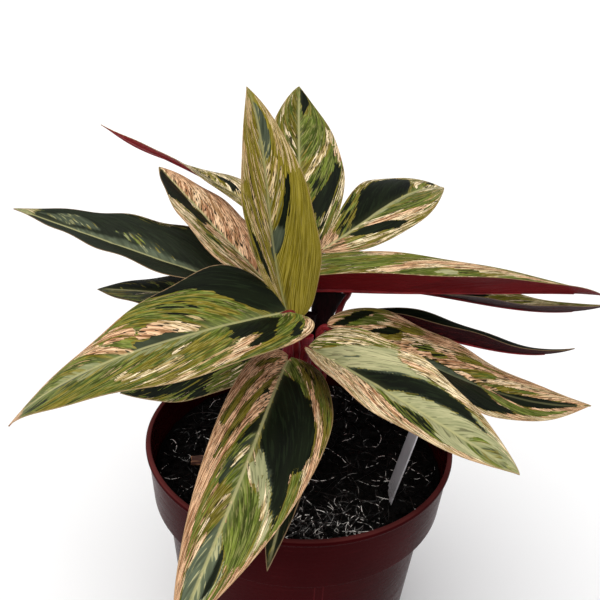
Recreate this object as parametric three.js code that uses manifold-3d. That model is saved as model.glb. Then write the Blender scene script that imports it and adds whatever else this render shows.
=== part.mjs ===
// A young Stromanthe 'Triostar' in its nursery pot. Millimetres, +Z up.
// The origin is the middle of the pot's underside, and -Y is the plant's front.
import * as THREE from "three";
import { mergeVertices } from "three/addons/utils/BufferGeometryUtils.js";
import Module from "manifold-3d";

const wasm = await Module();
wasm.setup();

// ---------------------------------------------------------------- driving dimensions

const GAP = 0.3; // between pieces that touch

const POT = {
  height: 98,
  rimRadius: 60,
  lipHeight: 1.6, // the thin bead that the rim ends in
  lipOverhang: 0.9,
  collarHeight: 23,
  collarFootRadius: 57.6,
  stepIn: 4.8, // how far the body stands back under the collar
  stepHeight: 1.4,
  baseRadius: 46.5,
  footRadius: 42, // the flat ring and disc that it stands on end here
  footChamfer: 2,
  wall: 1.3,
  floor: 1.8,
  sides: 48,
};
const DRAIN = { count: 8, radius: 4, circle: 31, sides: 12 };
const SOIL = { depthBelowRim: 13, crown: 1.5, sides: 48 };

const BLADE = {
  thickness: 0.8,
  steps: 12, // along the midrib
  strips: 2, // on each side of it
  bulge: 0.05, // how far a half bows up between midrib and margin, in half widths
  lobeFade: 5, // how fast the basal lobes die away along the blade
  lobeRise: 1.4,
};
const KEEL = { share: 0.45, tipRadius: 0.35, steps: 5 }; // the rib that runs on under the blade
const PETIOLE = { radius: 1.4, knee: 1.9, kneeLength: 7, approach: 3, sides: 6, steps: 6, sink: 0.6 };
const SHEATH = { footRadius: 2.7, topRadius: 2.1, sides: 7, steps: 8, lead: 0.85 };
const STALK = { depth: 26, dome: 5, sides: 16, rings: 3 };

const TAG = { width: 11, length: 80, thickness: 0.8, buried: 42, point: 10 };
const TAG_PLACE = { at: [35.5, -19.5], lean: 11, turn: 90 };

const rimTop = POT.height;
const soilTop = rimTop - SOIL.depthBelowRim;

// Each shoot is a clump of leaf sheaths that stands in the soil: its place and its foot's radius.
const SHOOTS = {
  shoot_front: { at: [-3, -3.7], radius: 8.9 },
  shoot_right: { at: [3.5, 11.5], radius: 6.6 },
  shoot_left: { at: [-11, 15], radius: 7.4 },
  shoot_back: { at: [2, 27], radius: 5.4 },
};

// A broad empty sheath that stands up from the right-hand shoot and opens towards its top.
const COWL = { shoot: "shoot_right", foot: [3, 11], waist: [1, 12, 34], top: [9, 22, 53], flatness: 0.5 };
const COWL_WIDTHS = { foot: 2.4, top: 6.3, power: 3, sides: 12, steps: 8 };

// A leaf, seen from its base to its tip, has its left side first in each pair.
//   base     where the blade starts, with z measured from the pot's rim
//   length   of the midrib; widths are the greatest half widths
//   rise     degrees above level at the base, the middle and the tip
//   heading  degrees from +X, anticlockwise, at the same three places
//   roll     degrees about the midrib at base and tip; fold is how far each half is raised
//   round, taper   powers that shape the blade towards its base and its tip
//   lobes    how far the base of each half reaches back
//   sheath   the share of the petiole that stays in the shoot's sheath
//   wave     height, number and phase of the margin's waves
const LEAVES = {
  leaf_front_left: {
    shoot: "shoot_front", foot: [-2, 1], base: [-6.3, -20, 63.5], length: 102, widths: [22.5, 24.3],
    rise: [9, -13, -52], heading: [226, 202, 179], roll: [-12, -5], fold: [16, -1],
    round: [0.53, 0.28], taper: [1.09, 1.24], lobes: [10, 0], sheath: 0.58, wave: [0.8, 3, 0.4],
  },
  leaf_tall_centre: {
    shoot: "shoot_front", foot: [1.3, 0.9], base: [-5.9, -4, 51], length: 85, widths: [16.9, 17.3],
    rise: [57, 72, 49], heading: [138, 119, 129], roll: [18, 0], fold: [31, 19],
    round: [0.57, 0.44], taper: [0.96, 0.99], lobes: [1, 2], sheath: 0.72, wave: [0.6, 3, 0.1],
  },
  leaf_tall_back: {
    shoot: "shoot_back", foot: [0, 28], base: [-4.3, 43, 45.1], length: 95, widths: [19.1, 19.9],
    rise: [52, 45, 43], heading: [91, 96, 92], roll: [-12, 15], fold: [29, 4],
    round: [0.51, 0.84], taper: [0.83, 0.95], lobes: [1, 1], sheath: 0.6, wave: [0.8, 3, 0.6],
  },
  leaf_spoon_right: {
    shoot: "shoot_back", foot: [4, 26], base: [3.2, 35, 62.6], length: 83, widths: [17.3, 18.7],
    rise: [18, 9, -7], heading: [36, 52, 37], roll: [28, -7], fold: [8, 9],
    round: [0.97, 0.87], taper: [0.47, 0.78], lobes: [1, 1], sheath: 0.6, wave: [0.8, 2, 0.2],
  },
  leaf_folded_right: {
    shoot: "shoot_right", foot: [0, 11.5], base: [-6.5, 18, 55.5], length: 138, widths: [20, 18],
    rise: [0, -2, -17], heading: [-4, 11, 35], roll: [-10, -12], fold: [37, 29],
    round: [0.37, 0.5], taper: [1.12, 1.03], lobes: [2, 2], sheath: 0.7, wave: [0.3, 3, 0.3],
  },
  leaf_under_right: {
    shoot: "shoot_right", foot: [6.6, 10.8], base: [18, 33.5, 48.5], length: 109, widths: [8, 14.5],
    rise: [2, -8, 13], heading: [14, 0, 14], roll: [15, -7], fold: [34, 36],
    round: [0.69, 0.61], taper: [0.91, 0.74], lobes: [1, 1], sheath: 0.45, wave: [0.5, 3, 0.5],
  },
  leaf_narrow_right: {
    shoot: "shoot_right", foot: [4.6, 14.4], base: [12, 27, 33.5], length: 107, widths: [9.5, 9.5],
    rise: [12, -14, 8], heading: [2, 5, 23], roll: [-6, -23], fold: [60, 24],
    round: [0.63, 0.5], taper: [1.04, 1.04], lobes: [1, 1], sheath: 0.45, wave: [0.5, 3, 0.3],
  },
  leaf_pink_right: {
    shoot: "shoot_right", foot: [4, 8], base: [7.6, 5, 45.7], length: 107, widths: [19.6, 20.7],
    rise: [-5, -22, 14], heading: [-12, -1, -7], roll: [-5, 14], fold: [20, -1],
    round: [0.47, 0.85], taper: [0.86, 1.12], lobes: [1, 1], sheath: 0.75, wave: [0.8, 3, 0.7],
  },
  leaf_cream_right: {
    shoot: "shoot_front", foot: [1.5, -6], base: [0.9, -8, 43.3], length: 90, widths: [18.4, 14.7],
    rise: [4, 1, -4], heading: [-46, -48, -43], roll: [-3, 16], fold: [25, 9],
    round: [0.35, 0.71], taper: [0.83, 1.01], lobes: [2, 1], sheath: 0.8, wave: [0.7, 3, 0.9],
  },
  leaf_front_hanging: {
    shoot: "shoot_front", foot: [-7.2, -7.6], base: [-5.3, -8, 38.9], length: 111, widths: [21.1, 13.8],
    rise: [11, -16, -53], heading: [-98, -103, -122], roll: [-25, -18], fold: [16, 2],
    round: [0.54, 0.52], taper: [1, 0.8], lobes: [2, 2], sheath: 0.82, wave: [0.8, 3, 0.2],
  },
  leaf_low_left: {
    shoot: "shoot_front", foot: [-7.5, -2], base: [-14, -2, 37], length: 58, widths: [17, 16],
    rise: [-15, -19, -21], heading: [185, 186, 188], roll: [-6, -15], fold: [3, 0],
    round: [0.55, 0.5], taper: [0.97, 0.9], lobes: [1, 1], sheath: 0.6, wave: [0.6, 2, 0.5],
  },
  leaf_long_left: {
    shoot: "shoot_left", foot: [-13, 12], base: [-17.3, 14, 53.7], length: 127, widths: [16.9, 19.9],
    rise: [4, 4, 1], heading: [161, 155, 150], roll: [-7, 2], fold: [23, 17],
    round: [0.39, 0.55], taper: [1.06, 0.94], lobes: [2, 1], sheath: 0.7, wave: [0.8, 4, 0.6],
  },
  leaf_pink_left: {
    shoot: "shoot_left", foot: [-9, 11], base: [-15, 8, 60], length: 82, widths: [16, 15],
    rise: [24, 17, 12], heading: [138, 131, 127], roll: [9, 12], fold: [7, 16],
    round: [0.49, 0.49], taper: [0.95, 0.84], lobes: [1, 2], sheath: 0.7, wave: [0.6, 3, 0.1],
  },
  leaf_twisted_left: {
    shoot: "shoot_left", foot: [-8, 18], base: [-17, 35.5, 74.5], length: 111, widths: [9, 11.5],
    rise: [14, 6, 15], heading: [128, 142, 148], roll: [-13, 67], fold: [19, -3],
    round: [0.74, 0.81], taper: [1.48, 1.29], lobes: [0, 0], sheath: 0.6, wave: [0.3, 3, 0.8],
  },
  leaf_small_left: {
    shoot: "shoot_left", foot: [-13, 16], base: [-18, 20, 47], length: 79, widths: [13, 13],
    rise: [-1, -9, -16], heading: [175, 160, 149], roll: [-5, -10], fold: [3, 6],
    round: [0.5, 0.5], taper: [0.96, 0.88], lobes: [1, 1], sheath: 0.7, wave: [0.5, 3, 0.3],
  },
  leaf_small_front: {
    shoot: "shoot_front", foot: [-2, -9], base: [-2, -14, 33], length: 70, widths: [8, 9],
    rise: [-5, -28, -51], heading: [-84, -96, -110], roll: [7, 16], fold: [12, 15],
    round: [0.46, 0.5], taper: [0.94, 0.89], lobes: [1, 1], sheath: 0.8, wave: [0.5, 3, 0.5],
  },
};

// ---------------------------------------------------------------- solids

const toRadians = THREE.MathUtils.degToRad;

function solid(geometry) {
  const bare = geometry.clone();
  bare.deleteAttribute("normal");
  bare.deleteAttribute("uv");
  const merged = mergeVertices(bare, 1e-4);
  return new wasm.Manifold(
    new wasm.Mesh({
      numProp: 3,
      vertProperties: merged.attributes.position.array,
      triVerts: new Uint32Array(merged.index.array),
    }),
  );
}

function geometryOf(made) {
  const { vertProperties, triVerts, numProp, numVert } = made.getMesh();
  const position = new Float32Array(numVert * 3);
  for (let i = 0; i < numVert; i++) {
    position.set(vertProperties.subarray(i * numProp, i * numProp + 3), i * 3);
  }
  const geometry = new THREE.BufferGeometry();
  geometry.setAttribute("position", new THREE.BufferAttribute(position, 3));
  geometry.setIndex(new THREE.BufferAttribute(triVerts, 1));
  geometry.computeVertexNormals();
  return geometry;
}

// A closed skin over rings of equally many points, with each end drawn to its middle.
function loft(rings) {
  const count = rings[0].length;
  const middle = (ring) =>
    ring.reduce((sum, p) => sum.add(p), new THREE.Vector3()).divideScalar(count);
  const points = [...rings.flat(), middle(rings[0]), middle(rings.at(-1))];
  const first = rings.length * count;
  const index = [];
  for (let j = 0; j < count; j++) {
    const k = (j + 1) % count;
    for (let i = 0; i + 1 < rings.length; i++) {
      const a = i * count;
      const b = a + count;
      index.push(a + j, a + k, b + k, a + j, b + k, b + j);
    }
    const last = first - count;
    index.push(first, k, j, first + 1, last + j, last + k);
  }
  const geometry = new THREE.BufferGeometry().setFromPoints(points);
  geometry.setIndex(index);
  return geometry;
}

// Rings of the given radii round a path, carried along it without twist.
function tube(path, radii, sides) {
  const steps = radii.length - 1;
  const { normals, binormals } = path.computeFrenetFrames(steps, false);
  const rings = radii.map((radius, i) => {
    const centre = path.getPointAt(i / steps);
    return Array.from({ length: sides }, (_, j) => {
      const angle = (2 * Math.PI * j) / sides;
      return centre
        .clone()
        .addScaledVector(normals[i], radius * Math.cos(angle))
        .addScaledVector(binormals[i], radius * Math.sin(angle));
    });
  });
  return loft(rings);
}

// ---------------------------------------------------------------- leaf

// The curve through a at 0, b at 1/2 and c at 1.
const through = ([a, b, c], s) =>
  a * (1 - s) * (1 - 2 * s) + 4 * b * s * (1 - s) + c * s * (2 * s - 1);

// The leaf's directions at share s of the midrib: along it, to its left, and up from its face.
function leafFrame(leaf, s) {
  const rise = toRadians(through(leaf.rise, s));
  const heading = toRadians(through(leaf.heading, s));
  const roll = toRadians(THREE.MathUtils.lerp(...leaf.roll, s));
  const along = new THREE.Vector3(
    Math.cos(rise) * Math.cos(heading),
    Math.cos(rise) * Math.sin(heading),
    Math.sin(rise),
  );
  const level = new THREE.Vector3(-Math.sin(heading), Math.cos(heading), 0);
  const upright = along.clone().cross(level);
  const left = level.clone().multiplyScalar(Math.cos(roll)).addScaledVector(upright, Math.sin(roll));
  const up = upright.multiplyScalar(Math.cos(roll)).addScaledVector(level, -Math.sin(roll));
  return { along, left, up };
}

// Points and frames at equal steps along the midrib.
function midrib(leaf, steps) {
  const point = new THREE.Vector3(...leaf.base);
  point.z += rimTop;
  const stations = [{ s: 0, point: point.clone(), ...leafFrame(leaf, 0) }];
  const fine = 4;
  for (let i = 1; i <= steps * fine; i++) {
    const middle = (i - 0.5) / (steps * fine);
    point.addScaledVector(leafFrame(leaf, middle).along, leaf.length / (steps * fine));
    if (i % fine === 0) {
      const s = i / (steps * fine);
      stations.push({ s, point: point.clone(), ...leafFrame(leaf, s) });
    }
  }
  return stations;
}

// The half width's share of its greatest, 0 at both ends.
function outline(s, round, taper) {
  const widest = round / (round + taper);
  return (s / widest) ** round * ((1 - s) / (1 - widest)) ** taper;
}

// The upper face at a station: across runs from 1 at the left margin to -1 at the right.
function bladePoint(leaf, station, across) {
  const side = across < 0 ? 1 : 0;
  const out = Math.abs(across);
  const share = outline(station.s, leaf.round[side], leaf.taper[side]);
  const half = leaf.widths[side] * share;
  const fold = toRadians(THREE.MathUtils.lerp(...leaf.fold, station.s));
  const [height, count, phase] = leaf.wave;
  const wave = height * share * out ** 3 * Math.sin(2 * Math.PI * (count * station.s + phase + side / 3));
  const reach = leaf.lobes[side] * (1 - station.s) ** BLADE.lobeFade;
  return station.point
    .clone()
    .addScaledVector(station.left, half * across * Math.cos(fold))
    .addScaledVector(station.up, half * (out * Math.sin(fold) + 4 * BLADE.bulge * out * (1 - out)) + wave)
    .addScaledVector(station.along, -reach * out * Math.min(1, BLADE.lobeRise * share));
}

// The blade is two equal grids, its faces, joined round the margin; both ends close to a point.
function blade(leaf) {
  const { steps, strips, thickness } = BLADE;
  const stations = midrib(leaf, steps);
  const columns = 2 * strips + 1;
  const top = stations.map((station, i) => {
    const end = i === 0 || i === steps;
    return Array.from({ length: columns }, (_, j) =>
      end ? station.point.clone() : bladePoint(leaf, station, 1 - j / strips),
    );
  });
  const bottom = top.map((row, i) =>
    row.map((point, j) => {
      if (i === 0 || i === steps) return point.clone().addScaledVector(stations[i].up, -thickness);
      const along = top[i + 1][j].clone().sub(top[i - 1][j]);
      const across = row[Math.max(j - 1, 0)].clone().sub(row[Math.min(j + 1, columns - 1)]);
      const normal = along.cross(across).normalize();
      return point.clone().addScaledVector(normal, -thickness);
    }),
  );
  const points = [...top.flat(), ...bottom.flat()];
  const under = columns * (steps + 1);
  const index = [];
  const face = (a, b, c) => {
    index.push(a, b, c);
    index.push(under + a, under + c, under + b);
  };
  for (let i = 0; i < steps; i++) {
    for (let j = 0; j + 1 < columns; j++) {
      const a = i * columns + j;
      const b = a + columns;
      if (i + 1 < steps) face(a, b + 1, b);
      else face(a, a + 1, b);
      if (i > 0 && i + 1 < steps) face(a, a + 1, b + 1);
    }
    const l = i * columns;
    const r = l + columns - 1;
    index.push(l, l + columns, under + l + columns, l, under + l + columns, under + l);
    index.push(r, under + r + columns, r + columns, r, under + r, under + r + columns);
  }
  const geometry = new THREE.BufferGeometry().setFromPoints(points);
  geometry.setIndex(index);
  return solid(geometry);
}

// From the foot in the soil to the blade's base, leaving straight up and arriving along the midrib.
function petiolePath(leaf) {
  const { along, up } = leafFrame(leaf, 0);
  const end = new THREE.Vector3(...leaf.base).addScaledVector(up, -PETIOLE.sink * PETIOLE.radius);
  end.z += rimTop;
  const foot = new THREE.Vector3(...leaf.foot, soilTop - STALK.dome);
  const height = end.z - foot.z;
  return new THREE.CubicBezierCurve3(
    foot,
    foot.clone().add(new THREE.Vector3(0, 0, SHEATH.lead * height)),
    end.clone().addScaledVector(along, -PETIOLE.approach),
    end,
  );
}

// The part of a path from one share of its length to another, as a smooth curve.
function stretch(path, from, to, steps) {
  const points = Array.from({ length: steps + 1 }, (_, i) =>
    path.getPointAt(THREE.MathUtils.lerp(from, to, i / steps)),
  );
  return new THREE.CatmullRomCurve3(points, false, "centripetal");
}

// The petiole above its sheath, with its swollen knee, and the keel that it runs on into.
function petiole(leaf) {
  const path = petiolePath(leaf);
  const length = path.getLength();
  const start = leaf.sheath + GAP / length;
  const free = stretch(path, start, 1, PETIOLE.steps);
  const freeLength = free.getLength();
  const stem = Array.from({ length: PETIOLE.steps + 1 }, (_, i) => {
    const toEnd = freeLength * (1 - i / PETIOLE.steps);
    const swell = Math.max(0, 1 - toEnd / PETIOLE.kneeLength);
    return PETIOLE.radius + (PETIOLE.knee - PETIOLE.radius) * Math.sin(Math.PI * Math.min(swell * 1.2, 1));
  });
  const stations = midrib(leaf, BLADE.steps);
  const last = Math.round(KEEL.share * BLADE.steps);
  const along = stations.slice(0, last + 1).map(({ s, point, up }) => {
    const radius = THREE.MathUtils.lerp(PETIOLE.radius, KEEL.tipRadius, s / stations[last].s);
    return { radius, point: point.clone().addScaledVector(up, -PETIOLE.sink * radius) };
  });
  const keelPath = new THREE.CatmullRomCurve3(along.map(({ point }) => point), false, "centripetal");
  const radii = Array.from({ length: KEEL.steps + 1 }, (_, i) =>
    THREE.MathUtils.lerp(PETIOLE.radius, KEEL.tipRadius, i / KEEL.steps),
  );
  return solid(tube(free, stem, PETIOLE.sides)).add(solid(tube(keelPath, radii, PETIOLE.sides)));
}

// ---------------------------------------------------------------- shoots, soil, pot and tag

function stalk(shoot) {
  const { depth, dome, sides, rings } = STALK;
  const profile = [new THREE.Vector2(0, soilTop - depth), new THREE.Vector2(shoot.radius, soilTop - depth)];
  for (let i = 0; i <= rings; i++) {
    const angle = (Math.PI / 2) * (i / rings);
    const radius = i === rings ? 0 : shoot.radius * Math.cos(angle);
    profile.push(new THREE.Vector2(radius, soilTop + dome * Math.sin(angle)));
  }
  const geometry = new THREE.LatheGeometry(profile, sides);
  geometry.rotateX(Math.PI / 2);
  geometry.translate(...shoot.at, 0);
  return solid(geometry);
}

function sheath(leaf) {
  const path = stretch(petiolePath(leaf), 0, leaf.sheath, SHEATH.steps);
  const radii = Array.from({ length: SHEATH.steps + 1 }, (_, i) =>
    THREE.MathUtils.lerp(SHEATH.footRadius, SHEATH.topRadius, i / SHEATH.steps),
  );
  return solid(tube(path, radii, SHEATH.sides));
}

// Flattened rings on an arc that leaves the soil straight up, widest at the top.
function cowl() {
  const { foot, waist, top, flatness } = COWL;
  const { sides, steps, power } = COWL_WIDTHS;
  const path = new THREE.QuadraticBezierCurve3(
    new THREE.Vector3(...foot, soilTop - STALK.dome),
    new THREE.Vector3(waist[0], waist[1], rimTop + waist[2]),
    new THREE.Vector3(top[0], top[1], rimTop + top[2]),
  );
  const across = new THREE.Vector3(1, 0, 0);
  const rings = Array.from({ length: steps + 1 }, (_, i) => {
    const share = i / steps;
    const half = THREE.MathUtils.lerp(COWL_WIDTHS.foot, COWL_WIDTHS.top, share ** power);
    const tangent = path.getTangent(share);
    const side = across.clone().addScaledVector(tangent, -across.dot(tangent)).normalize();
    const back = tangent.clone().cross(side);
    return Array.from({ length: sides }, (_, j) => {
      const angle = (2 * Math.PI * j) / sides;
      return path
        .getPoint(share)
        .addScaledVector(side, half * Math.cos(angle))
        .addScaledVector(back, Math.max(flatness * half, COWL_WIDTHS.foot / 2) * Math.sin(angle));
    });
  });
  return solid(loft(rings));
}

function shootSolid(name) {
  const clump = Object.values(LEAVES)
    .filter((leaf) => leaf.shoot === name)
    .reduce((sum, leaf) => sum.add(sheath(leaf)), stalk(SHOOTS[name]));
  return name === COWL.shoot ? clump.add(cowl()) : clump;
}

// The body's outer radius at a height.
const bodyTop = POT.collarFootRadius - POT.stepIn;
const bodyRadius = (z) =>
  THREE.MathUtils.lerp(POT.baseRadius, bodyTop, z / (rimTop - POT.collarHeight - POT.stepHeight));

function lathe(points, sides) {
  const geometry = new THREE.LatheGeometry(points.map(([r, z]) => new THREE.Vector2(r, z)), sides);
  return solid(geometry.rotateX(Math.PI / 2));
}

function potSolid() {
  const { rimRadius, lipHeight, lipOverhang, collarHeight, collarFootRadius, stepHeight } = POT;
  const { wall, floor, footRadius, footChamfer, sides } = POT;
  const collarTop = rimRadius - lipOverhang;
  const collarFoot = rimTop - collarHeight;
  const shell = lathe(
    [
      [0, 0],
      [footRadius, 0],
      [POT.baseRadius, footChamfer],
      [bodyTop, collarFoot - stepHeight],
      [collarFootRadius, collarFoot],
      [collarTop, rimTop - lipHeight - lipOverhang],
      [rimRadius, rimTop - lipHeight],
      [rimRadius, rimTop - lipHeight / 3],
      [rimRadius - lipOverhang / 2, rimTop],
      [collarTop - wall + lipOverhang / 2, rimTop],
      [collarTop - wall, rimTop - lipHeight / 2],
      [collarFootRadius - wall, collarFoot + stepHeight],
      [bodyTop - wall, collarFoot],
      [bodyRadius(floor + footChamfer) - wall, floor + footChamfer],
      [footRadius, floor],
      [0, floor],
    ],
    sides,
  );
  const hole = new THREE.CylinderGeometry(DRAIN.radius, DRAIN.radius, 4 * floor, DRAIN.sides);
  hole.rotateX(Math.PI / 2);
  let pierced = shell;
  for (let i = 0; i < DRAIN.count; i++) {
    const angle = (2 * Math.PI * (i + 0.5)) / DRAIN.count;
    const place = [DRAIN.circle * Math.cos(angle), DRAIN.circle * Math.sin(angle), floor / 2];
    pierced = pierced.subtract(solid(hole.clone().translate(...place)));
  }
  return pierced;
}

function tagGeometry(clearance) {
  const { width, length, thickness, point } = TAG;
  const half = width / 2 + clearance;
  const strip = new THREE.Shape();
  strip.moveTo(0, -clearance);
  strip.lineTo(half, point);
  strip.lineTo(half, length);
  strip.lineTo(-half, length);
  strip.lineTo(-half, point);
  strip.closePath();
  const depth = thickness + 2 * clearance;
  const geometry = new THREE.ExtrudeGeometry(strip, { depth, bevelEnabled: false });
  geometry.translate(0, -TAG.buried, -depth / 2);
  geometry.rotateX(Math.PI / 2 + toRadians(TAG_PLACE.lean));
  geometry.rotateZ(toRadians(TAG_PLACE.turn));
  return geometry.translate(...TAG_PLACE.at, soilTop);
}

function soilSolid() {
  const bottom = POT.floor + GAP;
  const clear = POT.wall + GAP;
  const collarFoot = rimTop - POT.collarHeight;
  const innerCollar = (z) =>
    THREE.MathUtils.lerp(
      POT.collarFootRadius,
      POT.rimRadius - POT.lipOverhang,
      (z - collarFoot) / POT.collarHeight,
    );
  const low = POT.floor + POT.footChamfer;
  let soil = lathe(
    [
      [0, bottom],
      [POT.footRadius - 2 * GAP, bottom],
      [bodyRadius(low) - clear, low + GAP],
      [bodyTop - clear, collarFoot],
      [innerCollar(collarFoot) - clear - GAP, collarFoot + POT.stepHeight + GAP],
      [innerCollar(soilTop) - clear - GAP, soilTop],
      [0, soilTop + SOIL.crown],
    ],
    SOIL.sides,
  );
  for (const { at, radius } of Object.values(SHOOTS)) {
    const height = 2 * STALK.depth;
    const hole = new THREE.CylinderGeometry(radius + GAP, radius + GAP, height, STALK.sides);
    hole.rotateX(Math.PI / 2);
    hole.translate(...at, soilTop - STALK.depth - GAP + height / 2);
    soil = soil.subtract(solid(hole));
  }
  return soil.subtract(solid(tagGeometry(GAP)));
}

// ---------------------------------------------------------------- the object

const finish = (color, roughness) => new THREE.MeshStandardMaterial({ color, roughness, metalness: 0 });
const FINISHES = {
  pot: finish("#4a0e14", 0.25),
  soil: finish("#14100d", 0.95),
  sheath: finish("#5a1420", 0.5),
  tag: finish("#c9c9cc", 0.4),
  leaf: finish("#7d8a45", 0.45),
};

function piece(name, made, material) {
  const mesh = new THREE.Mesh(geometryOf(made), material);
  mesh.name = name;
  return mesh;
}

const plant = new THREE.Group();
plant.add(piece("pot", potSolid(), FINISHES.pot));
plant.add(piece("soil", soilSolid(), FINISHES.soil));
plant.add(piece("plant_tag", solid(tagGeometry(0)), FINISHES.tag));
for (const name of Object.keys(SHOOTS)) {
  plant.add(piece(name, shootSolid(name), FINISHES.sheath));
}
for (const [name, leaf] of Object.entries(LEAVES)) {
  plant.add(piece(name, blade(leaf).add(petiole(leaf)), FINISHES.leaf));
}

export default plant;
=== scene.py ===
"""A young stromanthe triostar in its nursery pot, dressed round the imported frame."""

import logging
import math
from dataclasses import dataclass, field
from enum import Enum

import bpy
import numpy as np
from mathutils import Matrix


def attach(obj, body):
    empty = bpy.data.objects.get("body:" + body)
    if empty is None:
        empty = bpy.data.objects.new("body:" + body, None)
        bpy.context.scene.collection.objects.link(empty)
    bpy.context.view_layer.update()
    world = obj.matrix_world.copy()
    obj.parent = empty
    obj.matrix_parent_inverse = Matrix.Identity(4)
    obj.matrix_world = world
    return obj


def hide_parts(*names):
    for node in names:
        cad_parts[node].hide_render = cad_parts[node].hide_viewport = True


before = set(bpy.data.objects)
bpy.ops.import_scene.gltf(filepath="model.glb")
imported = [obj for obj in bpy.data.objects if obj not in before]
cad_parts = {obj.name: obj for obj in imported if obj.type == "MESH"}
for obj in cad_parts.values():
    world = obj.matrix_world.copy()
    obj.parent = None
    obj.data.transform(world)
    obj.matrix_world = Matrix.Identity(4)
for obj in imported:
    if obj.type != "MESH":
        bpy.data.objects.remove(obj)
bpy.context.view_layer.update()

Socket = bpy.types.NodeSocket
Material = bpy.types.Material

BODY = "root"
METRES = 0.001  # one millimetre; shapes are worked out in millimetres
RIM_TOP = 98.0
SOIL_TOP = 85.0
STEM_FOOT = SOIL_TOP - 5.0  # where petioles and sheaths start, under the soil
TINY = 1e-9  # keeps a divisor above 0
log = logging.getLogger("stromanthe")


# ---- array maths


def linear(code: str) -> tuple[float, float, float, float]:
    """A colour socket's value for an sRGB code such as "a0b1c2".

    Each channel c becomes c / 12.92 up to 0.04045, and ((c + 0.055) / 1.055) ^ 2.4 above it.

    Args:
        code: six hexadecimal digits.

    Returns:
        Linear red, green and blue, and 1.
    """
    channels = (int(code[i : i + 2], 16) / 255 for i in (0, 2, 4))
    r, g, b = (c / 12.92 if c <= 0.04045 else ((c + 0.055) / 1.055) ** 2.4 for c in channels)
    return r, g, b, 1.0


def unit(vectors: np.ndarray) -> np.ndarray:
    """The vectors divided by their lengths."""
    return vectors / np.maximum(np.linalg.norm(vectors, axis=-1, keepdims=True), TINY)


def smooth(low: float, high: float, x: np.ndarray) -> np.ndarray:
    """t * t * (3 - 2 t), where t is x's share of the way from low to high."""
    t = np.clip((x - low) / (high - low), 0, 1)
    return t * t * (3 - 2 * t)


def through(values: tuple[float, float, float], s: np.ndarray) -> np.ndarray:
    """The parabola through three values at 0, 1/2 and 1."""
    a, b, c = values
    return a * (1 - s) * (1 - 2 * s) + 4 * b * s * (1 - s) + c * s * (2 * s - 1)


def value_noise(x: np.ndarray, y: np.ndarray, seed: int, blend: float = 1.0) -> np.ndarray:
    """Noise on a plane: random corners of a unit lattice, blended by 3 t^2 - 2 t^3.

    Args:
        x: first coordinate, one lattice cell a unit.
        y: second coordinate.
        seed: number of the lattice.
        blend: share of a cell over which x blends from one corner to the next.

    Returns:
        Values from -1 to 1 of the shape of x.
    """
    cells = 64
    lattice = np.random.default_rng(seed).uniform(-1, 1, (cells, cells))
    i, j = np.floor(x).astype(int), np.floor(y).astype(int)
    u, v = smooth(0.5 - blend / 2, 0.5 + blend / 2, x - i), smooth(0, 1, y - j)
    near, far = (
        (1 - u) * lattice[i % cells, k % cells] + u * lattice[(i + 1) % cells, k % cells]
        for k in (j, j + 1)
    )
    return (1 - v) * near + v * far


def bezier(controls: np.ndarray, t: np.ndarray) -> np.ndarray:
    """Points of the Bezier curve with three or four control points, by its Bernstein sum."""
    n = len(controls) - 1
    weights = [math.comb(n, k) * t**k * (1 - t) ** (n - k) for k in range(n + 1)]
    return np.stack(weights, -1) @ controls


def runs(points: np.ndarray) -> np.ndarray:
    """The length of a polyline up to each of its points."""
    return np.concatenate([[0], np.cumsum(np.linalg.norm(np.diff(points, axis=0), axis=1))])


def spaced(points: np.ndarray, shares: np.ndarray) -> np.ndarray:
    """Points of a polyline at the given shares of its length."""
    run = runs(points)
    return np.stack([np.interp(shares * run[-1], run, points[:, k]) for k in range(3)], -1)


def turning(degrees: float, first: int, second: int) -> np.ndarray:
    """The matrix that turns one axis towards another.

    Args:
        degrees: how far.
        first: number of the axis whose row holds cos and -sin.
        second: number of the axis whose row holds sin and cos.

    Returns:
        A 3 by 3 array.
    """
    c, s = math.cos(math.radians(degrees)), math.sin(math.radians(degrees))
    matrix = np.eye(3)
    matrix[np.ix_([first, second], [first, second])] = [[c, -s], [s, c]]
    return matrix


def ring_angles(sides: int) -> np.ndarray:
    """Evenly spaced angles once round, without the last."""
    return np.linspace(0, 2 * np.pi, sides, endpoint=False)


# ---- meshes


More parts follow.
